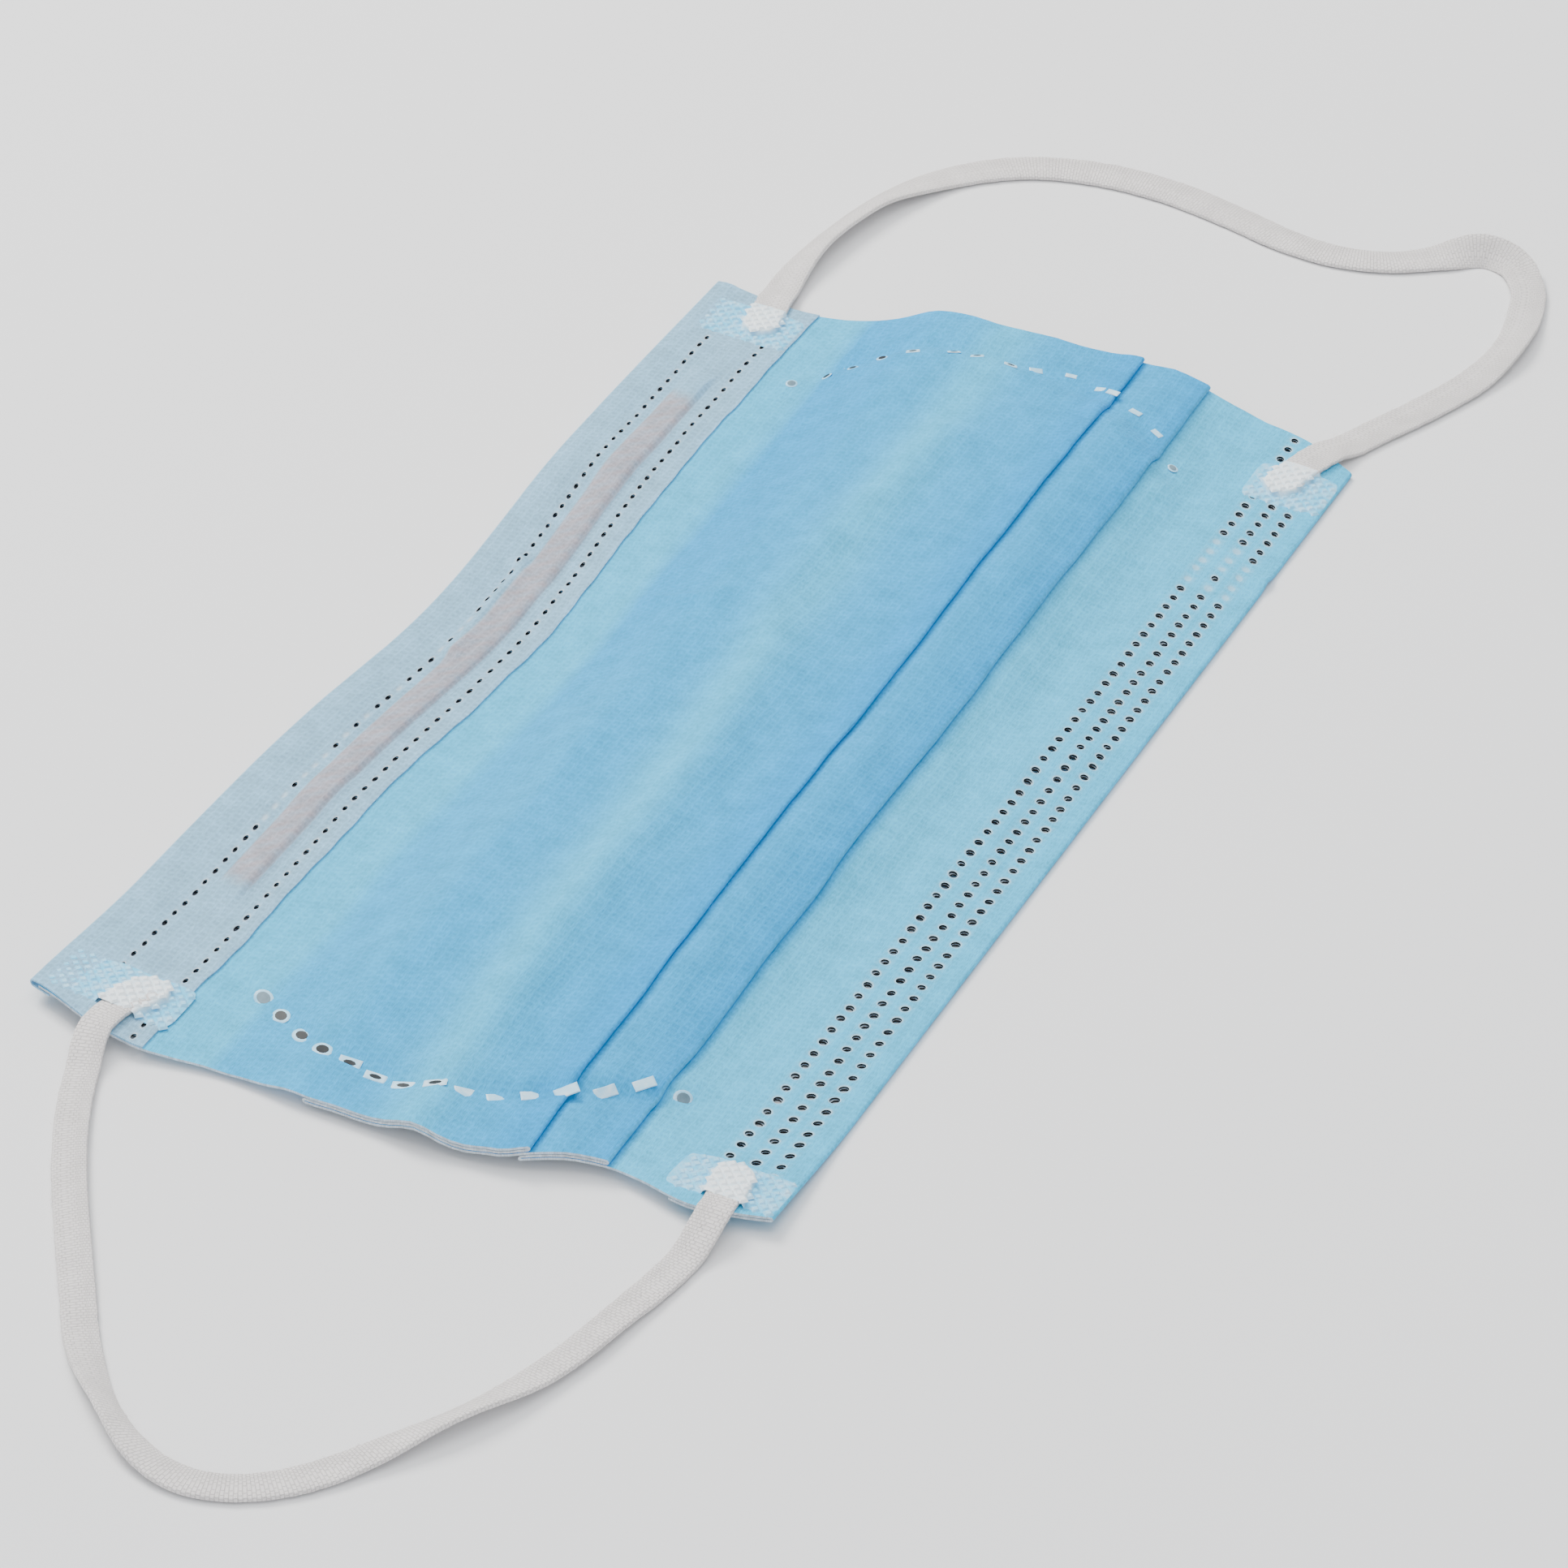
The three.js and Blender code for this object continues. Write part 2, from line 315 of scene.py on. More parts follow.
@dataclass(frozen=True)
class Nonwoven:
    """Spunbond polypropylene, laid as loose filaments and bonded by a hot patterned roll.

    The eye sees a matt cloth with faint cloudy laydown, fine crossing fibres and rows of
    small glazed bond points; a lamp behind it shines softly through.
    """

    name: str
    # The deep colour also gives the painted shade along the pleat edges.
    colour: str
    deep: str                # where layers or the wire lie under it
    pressed: str             # where it is fused to a film
    bond: float = 0.16       # how much darker the bond points are
    cloud: float = 0.10
    fibre: float = 0.16
    roughness: float = 0.82
    film_roughness: float = 0.45
    through: float = 0.3     # the share of light that comes through

    def make(self) -> Material:
        """Builds the material.

        Returns:
            The finished material.
        """
        material, desk = new_material(self.name)
        flat = desk.add("ShaderNodeUVMap", uv_map="cloth").outputs[0]
        # Bond points stand 0.85 mm by 1.1 mm apart, each row half a step on.
        between = desk.add("ShaderNodeTexBrick", {
            "Vector": flat, "Scale": 1.0, "Mortar Size": 0.29, "Mortar Smooth": 0.8, "Bias": 0.0,
            "Brick Width": 0.85, "Row Height": 1.1}, offset=0.5, offset_frequency=2).outputs[1]
        # Filaments are about 0.02 mm thick, too fine to show, so bundles of 0.1 mm are drawn.
        crossing = []
        for turn, stretch, scale in ((0.35, (1.0, 7.0, 1.0), 1.3), (-0.9, (1.2, 8.0, 1.0), 1.2)):
            laid = desk.add("ShaderNodeMapping", {0: flat, "Rotation": (0, 0, turn), "Scale": stretch})
            crossing.append(desk.add("ShaderNodeTexNoise", {
                "Vector": laid.outputs[0], "Scale": scale, "Detail": 4.0}).outputs[0])
        fibres = desk.calc(*crossing)
        # The laydown is cloudy over about 3 mm.
        cloud = desk.add("ShaderNodeTexNoise", {
            "Vector": flat, "Scale": 0.33, "Detail": 3.0, "Roughness": 0.6}).outputs[0]
        # Deep colour comes in where layers lie under each other, as painted shade along the pleat edges,
        # and less of it along the pleat ridge as a painted highlight.
        tint_and_painted_light = desk.add("ShaderNodeAttribute", attribute_name="tint_and_painted_light").outputs["Fac"]
        weld = desk.add("ShaderNodeAttribute", attribute_name="weld").outputs["Fac"]
        base = desk.blend(tint_and_painted_light, linear(self.colour), linear(self.deep))
        tone = desk.calc(desk.spread(fibres, 0.75, 1.25, 1 - self.fibre, 1 + self.fibre),
                           desk.spread(cloud, 0.3, 0.7, 1 - self.cloud, 1 + self.cloud), "MULTIPLY")
        tone = desk.calc(tone, desk.spread(between, 0.0, 1.0, 1 - self.bond, 1.0), "MULTIPLY")
        toned = desk.add("ShaderNodeVectorMath", {0: base, "Scale": tone}, operation="SCALE").outputs[0]
        colour = desk.blend(weld, toned, linear(self.pressed))
        height = desk.calc(desk.calc(fibres, 0.8, "MULTIPLY"), between)
        bump = desk.add("ShaderNodeBump", {
            "Strength": 0.55, "Distance": 0.00007, "Height": height}).outputs[0]
        rough = desk.spread(weld, 0.0, 1.0, self.roughness, self.film_roughness)
        cloth = desk.add("ShaderNodeBsdfPrincipled", {
            "Base Color": colour, "Roughness": rough, "Specular IOR Level": 0.25,
            "Sheen Weight": 0.1, "Sheen Roughness": 0.5, "Normal": bump})
        glow = desk.add("ShaderNodeBsdfTranslucent", {"Color": colour, "Normal": bump})
        mixed = desk.add("ShaderNodeMixShader", {
            0: self.through, 1: cloth.outputs[0], 2: glow.outputs[0]})
        desk.add("ShaderNodeOutputMaterial", {0: mixed.outputs[0]})
        return material


@dataclass(frozen=True)
class FusedFilm:
    """Polypropylene melted to a film between a knurled horn and anvil.

    The eye sees a paler, slightly shiny skin where the fibres have run together.
    """

    name: str
    colour: str
    pale: str
    roughness: float = 0.38

    def make(self) -> Material:
        """Builds the material.

        Returns:
            The finished material.
        """
        material, desk = new_material(self.name)
        place = desk.add("ShaderNodeTexCoord").outputs["Object"]
        noise = desk.add("ShaderNodeTexNoise", {
            "Vector": place, "Scale": 900.0, "Detail": 4.0}).outputs[0]
        pad = desk.add("ShaderNodeAttribute", attribute_name="pad").outputs["Fac"]
        speck = desk.spread(noise, 0.4, 0.75, 0.0, 0.4)
        share = desk.add("ShaderNodeClamp", {0: desk.calc(speck, pad)}).outputs[0]
        colour = desk.blend(share, linear(self.colour), linear(self.pale))
        bump = desk.add("ShaderNodeBump", {
            "Strength": 0.4, "Distance": 0.00006, "Height": noise}).outputs[0]
        film = desk.add("ShaderNodeBsdfPrincipled", {
            "Base Color": colour,
            "Roughness": desk.spread(noise, 0.3, 0.7, self.roughness, self.roughness + 0.2),
            "Specular IOR Level": 0.5, "Coat Weight": 0.15, "Coat Roughness": 0.25, "Normal": bump})
        desk.add("ShaderNodeOutputMaterial", {0: film.outputs[0]})
        return material


@dataclass(frozen=True)
class KnittedElastic:
    """Nylon yarn knitted round elastane strands into a flat band.

    The eye sees a soft white band with small stitches in rows, shaded between the ribs.
    """

    name: str
    colour: str
    shade: str

    def make(self) -> Material:
        """Builds the material.

        Returns:
            The finished material.
        """
        material, desk = new_material(self.name)
        flat = desk.add("ShaderNodeUVMap", uv_map="cloth").outputs[0]
        # Stitches are 0.54 mm wide, one for each rib, and 0.42 mm long.
        between = desk.add("ShaderNodeTexBrick", {
            "Vector": flat, "Scale": 1.0, "Mortar Size": 0.07, "Mortar Smooth": 1.0, "Bias": 0.0,
            "Brick Width": 0.54, "Row Height": 0.42}, offset=0.5, offset_frequency=2).outputs[1]
        yarn = desk.add("ShaderNodeMapping", {
            0: flat, "Rotation": (0, 0, 0.6), "Scale": (3.0, 12.0, 1.0)}).outputs[0]
        strands = desk.add("ShaderNodeTexNoise", {
            "Vector": yarn, "Scale": 1.0, "Detail": 3.0}).outputs[0]
        worn = desk.add("ShaderNodeTexNoise", {
            "Vector": flat, "Scale": 0.25, "Detail": 2.0}).outputs[0]
        # Painted shade darkens the gaps between stitches, and slow noise darkens the band unevenly.
        dark = desk.calc(desk.calc(between, 0.55, "MULTIPLY"), desk.spread(worn, 0.35, 0.7, 0.0, 0.3))
        share = desk.add("ShaderNodeClamp", {0: dark}).outputs[0]
        colour = desk.blend(share, linear(self.colour), linear(self.shade))
        height = desk.calc(strands, between, "SUBTRACT")
        bump = desk.add("ShaderNodeBump", {
            "Strength": 0.7, "Distance": 0.00012, "Height": height}).outputs[0]
        band = desk.add("ShaderNodeBsdfPrincipled", {
            "Base Color": colour, "Roughness": desk.spread(strands, 0.3, 0.7, 0.8, 0.95),
            "Specular IOR Level": 0.25, "Sheen Weight": 0.4, "Sheen Roughness": 0.4, "Normal": bump})
        desk.add("ShaderNodeOutputMaterial", {0: band.outputs[0]})
        return material


@dataclass(frozen=True)
class CoatedWire:
    """Steel strip drawn through a plastic coat.

    The eye sees a smooth, slightly waxy skin with faint draw lines along it.
    """

    name: str = "nose_wire_extruded_plastic_coat"
    colour: str = "#CDBBB8"
    drawn: str = "#B9A6A3"

    def make(self) -> Material:
        """Builds the material.

        Returns:
            The finished material.
        """
        material, desk = new_material(self.name)
        place = desk.add("ShaderNodeTexCoord").outputs["Object"]
        # Draw lines are 0.4 mm wide and run about 30 mm.
        stretched = desk.add("ShaderNodeMapping", {
            0: place, "Scale": (30.0, 2500.0, 2500.0)}).outputs[0]
        lines = desk.add("ShaderNodeTexNoise", {
            "Vector": stretched, "Scale": 1.0, "Detail": 3.0}).outputs[0]
        colour = desk.blend(desk.spread(lines, 0.3, 0.7), linear(self.colour), linear(self.drawn))
        bump = desk.add("ShaderNodeBump", {
            "Strength": 0.3, "Distance": 0.00003, "Height": lines}).outputs[0]
        coat = desk.add("ShaderNodeBsdfPrincipled", {
            "Base Color": colour, "Roughness": desk.spread(lines, 0.3, 0.7, 0.35, 0.5), "Normal": bump})
        desk.add("ShaderNodeOutputMaterial", {0: coat.outputs[0]})
        return material


@dataclass(frozen=True)
class PaleFloor:
    """A plain matt studio board."""

    name: str = "painted_studio_board"
    colour: str = "#E9E9EA"

    def make(self) -> Material:
        """Builds the material.

        Returns:
            The finished material.
        """
        material, desk = new_material(self.name)
        board = desk.add("ShaderNodeBsdfPrincipled", {
            "Base Color": linear(self.colour), "Roughness": 0.75, "Specular IOR Level": 0.2})
        desk.add("ShaderNodeOutputMaterial", {0: board.outputs[0]})
        return material


# ---- the shape that the cloth takes ------------------------------------------------


@dataclass(frozen=True)
class Crease:
    """A soft ridge or, with a negative height, a valley in the lying cloth."""

    line: tuple[Point, ...]
    height: float
    width: float


@dataclass
class LyingCloth:
    """How the flat section of the mask lies on the table."""

    cloth: float = 0.30          # three plies together
    ply: float = 0.20            # the inner ply alone
    layer: float = 0.40          # from one folded layer to the next
    lowest: float = 0.18         # middle of the hem under the chin edge
    dome_rise: float = 3.6       # how far the middle stands clear of the table
    corner_lift: float = 1.6     # how far the near corners curl up
    sink: float = 0.06           # how far a valley may dip
    dent: float = 2.6            # how far the nose edge is pushed in
    dent_x: float = 2.0
    dent_spread: Point = (24.0, 28.0)
    dent_y: Point = (8.0, 28.0)
    end_y: tuple[float, ...] = (-44.6, -37.0, -25.0, -14.0, 6.0, 20.0, 31.0, 44.6)
    near_x: tuple[float, ...] = (-82.2, -84.4, -82.6, -86.6, -87.8, -87.6, -88.9, -85.0)
    far_x: tuple[float, ...] = (83.4, 87.0, 88.9, 88.6, 86.9, 86.0, 83.6, 84.9)
    creases: tuple[Crease, ...] = (
        Crease(((-6.6, 34.3), (3.7, 34.9), (12.5, 35.1), (15, 36.3)), 1.1, 1.1),
        Crease(((12.8, 19), (12.2, 11.3), (15.7, 9.8)), 0.7, 0.9),
        Crease(((-10.2, 18.3), (-11.2, 13.8)), -0.45, 0.8),
        Crease(((-86, -4.5), (-50, -3.4), (-11, -2.8), (5.7, -0.7), (20, 4.4), (32, 3.6), (44, 2.1),
                (60, 1)), 1.5, 3.0),
        Crease(((-86, -14.4), (-18, -12.9), (28, -11.4), (87, -10.6)), -0.55, 1.7),
        Crease(((-80, -22.2), (0, -21.2), (86, -19.9)), -0.4, 1.7),
        Crease(((56, -45), (55.4, -40), (54, -33), (52, -27)), 0.55, 1.1),
        Crease(((60, -45), (59, -39), (58, -34)), -0.4, 1.3),
        Crease(((-72, 20), (-30, 19.6), (20, 20.6), (72, 22.7)), -0.55, 1.5),
        Crease(((-70, 9), (-34, 9.7), (12, 9.3), (39, 11), (70, 13.4)), 0.22, 0.8),
        Crease(((-62, -31), (-20, -30), (30, -29.5), (70, -28.4)), -0.25, 2.2),
    )

    def level(self, layer: float) -> float:
        """Gives the height of the middle of a folded layer."""
        return self.lowest + (layer + 1) * self.layer

    def noise(self, x: np.ndarray, y: np.ndarray) -> np.ndarray:
        """Gives the slow waviness that all layers share.

        Args:
            x: positions along the mask.
            y: positions across it.

        Returns:
            A height for each point.
        """
        rng = np.random.default_rng(7)
        total = np.zeros(np.shape(x))
        # Each scale has its wave length and height, and three waves that run any way.
        for size, amount in ((46, 0.22), (27, 0.14), (15, 0.09), (8.5, 0.05), (5.0, 0.025)):
            for _ in range(3):
                turn, phase = rng.uniform(0, math.pi), rng.uniform(0, 2 * math.pi)
                along = x * math.cos(turn) + y * math.sin(turn)
                total += amount * np.sin(2 * math.pi * along / size + phase)
        return total * ramp(-45.5, -38, y) * ramp(45.5, 38, y)

    def pucker(self, x: np.ndarray, y: np.ndarray) -> np.ndarray:
        """Gives the dip along the side welds and the ruffle outside the far one.

        Args:
            x: positions along the mask.
            y: positions across it.

        Returns:
            A height for each point.
        """
        bow, half = 9, 24             # each line of welds bows by this over half its length
        near = x + 81.3 - bow * ((y - 1.5) / half) ** 2
        far = x - 80.2 + bow * (y / half) ** 2
        inside = ramp(-31, -26, y) * ramp(29, 24, y)
        # The cloth dips at the welds, stands up beside them and ripples between them.
        dip = -0.45 * np.exp(-(near / 1.3) ** 2) - 0.45 * np.exp(-(far / 1.3) ** 2)
        shoulder = (0.3 * np.exp(-((near - 3.2) / 2.0) ** 2)
                    + 0.3 * np.exp(-((far + 3.2) / 2.0) ** 2))
        ripple = 0.22 * np.sin(2 * math.pi * y / 3.4) * (np.exp(-((near - 2.5) / 2.5) ** 2)
                                                        + np.exp(-((far + 2.5) / 2.5) ** 2))
        ruffle = 0.55 * np.sin(2 * math.pi * (y + 1) / 4.3) * np.exp(-((far - 2.2) / 1.8) ** 2)
        return inside * (dip + shoulder + ripple + ruffle * ramp(0, 4, y) * ramp(25, 20, y))

    def lift(self, x: np.ndarray, y: np.ndarray) -> np.ndarray:
        """Gives how far the cloth stands above a flat section.

        Args:
            x: positions along the mask.
            y: positions across it.

        Returns:
            A height for each point.
        """
        # The dome dies out towards both borders and is lower at the near end.
        across = ramp(-32, -17, y) * ramp(26, 9, y)
        dome = self.dome_rise * across * (0.25 + 0.75 * ramp(-90, -48, x))
        corner = self.corner_lift * ramp(-62, -88, x) * ramp(20, 42, np.abs(y))
        total = dome + corner + self.noise(x, y) * 0.8 + self.pucker(x, y)
        for crease in self.creases:
            away = distance_to_line(x, y, crease.line) / crease.width
            total = total + crease.height * np.exp(-away ** 2)
        return np.maximum(total, -self.sink)

    def place(self, share: np.ndarray, y: np.ndarray, z: np.ndarray) -> np.ndarray:
        """Places points of the flat section on the lying mask.

        Args:
            share: how far along the mask, from 0 to 1.
            y: place across the flat section.
            z: height in the flat section.

        Returns:
            Points as rows of x, y and z in the last axis.
        """
        near = smooth_table(y, self.end_y, self.near_x)
        far = smooth_table(y, self.end_y, self.far_x)
        x = near + (far - near) * share
        spread = np.where(x < self.dent_x, *self.dent_spread)
        real_y = y - self.dent * np.exp(-((x - self.dent_x) / spread) ** 2) * ramp(*self.dent_y, y)
        return np.stack([x, real_y, z + self.lift(x, real_y)], axis=-1)

    def top(self, x: np.ndarray, y: np.ndarray) -> np.ndarray:
        """Gives the height of the cloth's upper face at the two plain borders.

        Args:
            x: positions along the mask.
            y: positions across it.

        Returns:
            A height for each point.
        """
        header = np.where(np.asarray(y) > 26, SEAM_GAP + self.ply, 0.0)
        return self.level(0) + self.cloth / 2 + header + self.lift(x, y)


class Turn(Enum):
    """How a section runs on to its next bend."""

    RUN = 0
    U_TURN = 1


@dataclass(frozen=True)
class Bend:
    """A line along the mask, with its y at both ends and its height in the flat section."""

    near: float
    far: float
    z: float
    over_wire: float = 0.0    # the share of the wire's rise
    turn: Turn = Turn.RUN
    row: str = ""


@dataclass(frozen=True)
class WeldRow:
    """A row of weld points that runs along the mask, with its y at both ends."""

    name: str
    near: float
    far: float
    first: int                         # number of its first point
    last: int
    faint: tuple[int, int] = (0, 0)    # points that may be dimples instead of holes
    closed: float = 0.0                # the share of those that are

    def lines(self, z: float, towards_chin: bool, over_wire: float = 0.0) -> list[Bend]:
        """Gives the three grid lines that carry this row.

        Args:
            z: height of the cloth there.
            towards_chin: whether the section runs towards the chin there.
            over_wire: the share of the wire's rise there.

        Returns:
            A line on each side of the row and one through it.
        """
        sign = 1 if towards_chin else -1
        steps = (HALF_CELL * sign, 0.0, -HALF_CELL * sign)
        return [Bend(self.near + s, self.far + s, z, over_wire, row="" if s else self.name)
                for s in steps]


NOSE_ROWS = (WeldRow("nose_inner", 29.6, 32.3, 0, 72),
             WeldRow("nose_outer", 36.9, 39.3, 4, 72, (18, 38), 0.45))
CHIN_ROWS = (WeldRow("chin_inner", -35.5, -35.5, 4, 74, (59, 63), 0.9),
             WeldRow("chin_middle", -38.4, -38.4, 3, 74, (59, 63), 0.9),
             WeldRow("chin_outer", -41.0, -41.0, 3, 69, (59, 62), 0.9))


class ClothWall:
    """A closed wall of cloth on a grid, with welded pinholes through some of its cells."""

    RAISED = 0.58      # how far the wire lifts the header
    FOOT = 3.5         # how soon past the wire's ends the header lies flat again
    READ_Y = 34.5      # where x is read for that
    TURN_STEPS = 7     # points round a fold

    def __init__(self, shape: LyingCloth, bends: list[Bend], thick: float, step: float = 1.6) -> None:
        """Lays out the section.

        Args:
            shape: how the cloth lies.
            bends: the section's bends in order.
            thick: thickness of the wall.
            step: longest step along the section.
        """
        self.shape, self.bends, self.thick = shape, bends, thick
        self.shares = np.linspace(0, 1, 2 * CELLS + 1)
        self.rng = np.random.default_rng(len(bends))
        self.section(step)

    def section(self, step: float) -> None:
        """Samples the section's middle line at every station along the mask.

        Args:
            step: longest step along the section.
        """
        share = self.shares[:, None]
        columns_y: list[np.ndarray] = []
        columns_z: list[np.ndarray] = []
        self.rows: dict[str, list[int]] = {}
        x = self.shape.place(share, np.full_like(share, self.READ_Y), np.zeros_like(share))[..., 0]
        wire = ramp(WIRE_X[0] - self.FOOT, WIRE_X[0], x) * ramp(WIRE_X[1] + self.FOOT, WIRE_X[1], x)
        ends = [(b.near + (b.far - b.near) * share, b.z + self.RAISED * b.over_wire * wire)
                for b in self.bends]
        for i, bend in enumerate(self.bends):
            if bend.row:
                self.rows.setdefault(bend.row, []).append(len(columns_y))
            columns_y.append(ends[i][0])
            columns_z.append(ends[i][1])
            if i == len(self.bends) - 1:
                break
            (y0, z0), (y1, z1) = ends[i], ends[i + 1]
            if bend.turn is Turn.U_TURN:
                side = math.copysign(1.0, bend.near - self.bends[i - 1].near)
                for angle in np.linspace(0, math.pi, self.TURN_STEPS)[1:-1]:
                    radius = (z0 - z1) / 2
                    columns_y.append(y0 + side * np.abs(radius) * math.sin(angle))
                    columns_z.append((z0 + z1) / 2 + radius * math.cos(angle))
                continue
            count = max(1, math.ceil(abs(float(np.mean(y1 - y0))) / step))
            if np.max(np.abs(z1 - z0)) > 0.1:
                count = max(count, 3)
            for k in range(1, count):
                t = k / count
                columns_y.append(y0 + (y1 - y0) * t)
                columns_z.append(z0 + (z1 - z0) * t * t * (3 - 2 * t))
        self.y = np.concatenate(columns_y, axis=1)
        self.z = np.concatenate(columns_z, axis=1)

    def build(self, name: str, materials: Sequence[Material], holes: Sequence[WeldRow],
              tint_and_painted_light: Callable[[np.ndarray, np.ndarray], np.ndarray]) -> Object:
        """Makes the wall's mesh.

        Args:
            name: the piece's name.
            materials: outer, inner and rim materials, and the painted shade for the walls of the holes.
            holes: the rows of weld points through it.
            tint_and_painted_light: gives the deep tint from share and y.

        Returns:
            The new object.
        """
        y, z = self.y, self.z
        dy, dz = np.gradient(y, axis=1), np.gradient(z, axis=1)
        long = np.maximum(np.hypot(dy, dz), 1e-6)
        ny, nz = dz / long, -dy / long
        half = self.thick / 2
        share = np.broadcast_to(self.shares[:, None], y.shape)
        sides = [self.shape.place(share, y + ny * half * s, z + nz * half * s) for s in (1, -1)]
        steps = np.cumsum(np.hypot(np.diff(y), np.diff(z)), axis=1)
        run = np.concatenate([np.zeros((len(y), 1)), steps], axis=1)
        stations, columns = y.shape
        total = stations * columns
        self.sides, self.columns, self.total = sides, columns, total
        self.flat = np.stack([sides[0][..., 0], run], axis=-1)
        self.tint = tint_and_painted_light(share, y)
        self.points = [side.reshape(-1, 3) for side in sides]
        self.uv = [self.flat.reshape(-1, 2)] * 2
        self.weld = [np.zeros(2 * total)]
        self.tint_and_painted_light = [np.tile(self.tint.reshape(-1), 2)]
        self.faces: list[Sequence[int]] = []
        self.slots: list[int] = []
        self.count = 2 * total
        blocked = np.zeros((stations - 1, columns - 1), bool)
        for row in holes:
            for order, column in enumerate(self.rows.get(row.name, [])):
                for cell in range(row.first, row.last + 1):
                    i = 2 * cell + 1
                    blocked[i - 1:i + 1, column - 1:column + 1] = True
                    self.punch(row, cell, column, 16 if order == 0 else 8)
        for i in range(stations - 1):
            for k in range(columns - 1):
                if not blocked[i, k]:
                    a = i * columns + k
                    quad = (a, a + 1, a + 1 + columns, a + columns)
                    self.put(quad, Face.OUTER)
                    self.put([q + total for q in quad[::-1]], Face.INNER)
        last = (stations - 1) * columns
        for i in range(stations - 1):
            a, b = i * columns, (i + 1) * columns
            self.put((a, b, b + total, a + total), Face.RIM)
            c, d = a + columns - 1, b + columns - 1
            self.put((c, c + total, d + total, d), Face.RIM)
        for k in range(columns - 1):
            self.put((k, k + total, k + 1 + total, k + 1), Face.RIM)
            e = last + k
            self.put((e, e + 1, e + 1 + total, e + total), Face.RIM)
        marks = {"weld": np.concatenate(self.weld), "tint_and_painted_light": np.concatenate(self.tint_and_painted_light)}
        return make_object(name, np.concatenate(self.points), self.faces, materials, self.slots,
                           np.concatenate(self.uv), marks, 60)

    def put(self, face: Sequence[int], slot: Face) -> None:
        """Adds one face."""
        self.faces.append(face)
        self.slots.append(slot.value)

    def punch(self, row: WeldRow, cell: int, column: int, count: int) -> None:
        """Makes one weld point in two by two cells of the grid.

        Args:
            row: the row that it belongs to.
            cell: its number in the row.
            column: the column of its middle.
            count: corners of the hole: 16 where it is seen, 8 on the hem below.
        """
        i, columns, total = 2 * cell + 1, self.columns, self.total
        rng = np.random.default_rng(cell * 31 + sum(map(ord, row.name)))
        faint = row.faint[0] <= cell <= row.faint[1] and rng.random() < row.closed
        # Radii are shares of half a weld pitch, so a hole is about 1 mm wide.
        wide = rng.uniform(0.41, 0.49) * (0.8 if faint else 1.0)
        radii = (wide + rng.uniform(0.17, 0.24), wide)
        shift = rng.uniform(-0.07, 0.07, 2)
        angles = -0.75 * math.pi + np.arange(count) * 2 * math.pi / count
        steps = ((-1, -1), (-1, 0), (-1, 1), (0, 1), (1, 1), (1, 0), (1, -1), (0, -1))
        inward = 1 if count == 8 else -1
        dimple = 0.10 if faint else 0.06
        start = self.count
        for side in (0, 1):
            for ring, radius in enumerate(radii):
                u = radius * np.sin(angles) * rng.uniform(0.94, 1.06) + shift[0]
                v = radius * np.cos(angles) + shift[1]
                # The nine grid points round the middle carry a smooth patch of cloth.
                weights_u, weights_v = (
                    np.stack([t * (t - 1) / 2, 1 - t * t, t * (t + 1) / 2], axis=1) for t in (u, v))
                weights = weights_u[:, :, None] * weights_v[:, None, :]
                block = np.s_[i - 1:i + 2, column - 1:column + 2]
                ring_points = np.einsum("nab,abc->nc", weights, self.sides[side][block])
                ring_points[:, 2] += inward * dimple * (ring if side == 0 else 0)
                fused = (0.12, 0.45)[ring] if faint else (0.1, 0.8)[ring] * (1 - side)
                self.points.append(ring_points)
                self.uv.append(np.einsum("nab,abc->nc", weights, self.flat[block]))
                self.weld.append(np.full(count, fused))
                self.tint_and_painted_light.append(np.full(count, self.tint[i, column]))
        self.count += 4 * count
        each = count // 8
        for side in (0, 1):
            outer = start + side * 2 * count
            inner = outer + count
            slot = Face.OUTER if side == 0 else Face.INNER
            order = 1 if side == 0 else -1
            border = [(i + di) * columns + column + dk + side * total for di, dk in steps]
            for j in range(8):
                ring = [outer + (each * j + m) % count for m in range(each, -1, -1)]
                self.put([border[j], border[(j + 1) % 8], *ring][::order], slot)
            for m in range(count):
                n = (m + 1) % count
                self.put([outer + m, outer + n, inner + n, inner + m][::order], slot)
            if faint:
                self.put([inner + m for m in range(count)][::order], slot)
        # The wall of an open hole takes the last slot, near-black painted shade.
        if not faint:
            upper, lower = start + count, start + 3 * count
            for m in range(count):
                n = (m + 1) % count
                self.put([upper + m, upper + n, lower + n, lower + m], Face.SHADED_HOLE_WALL)


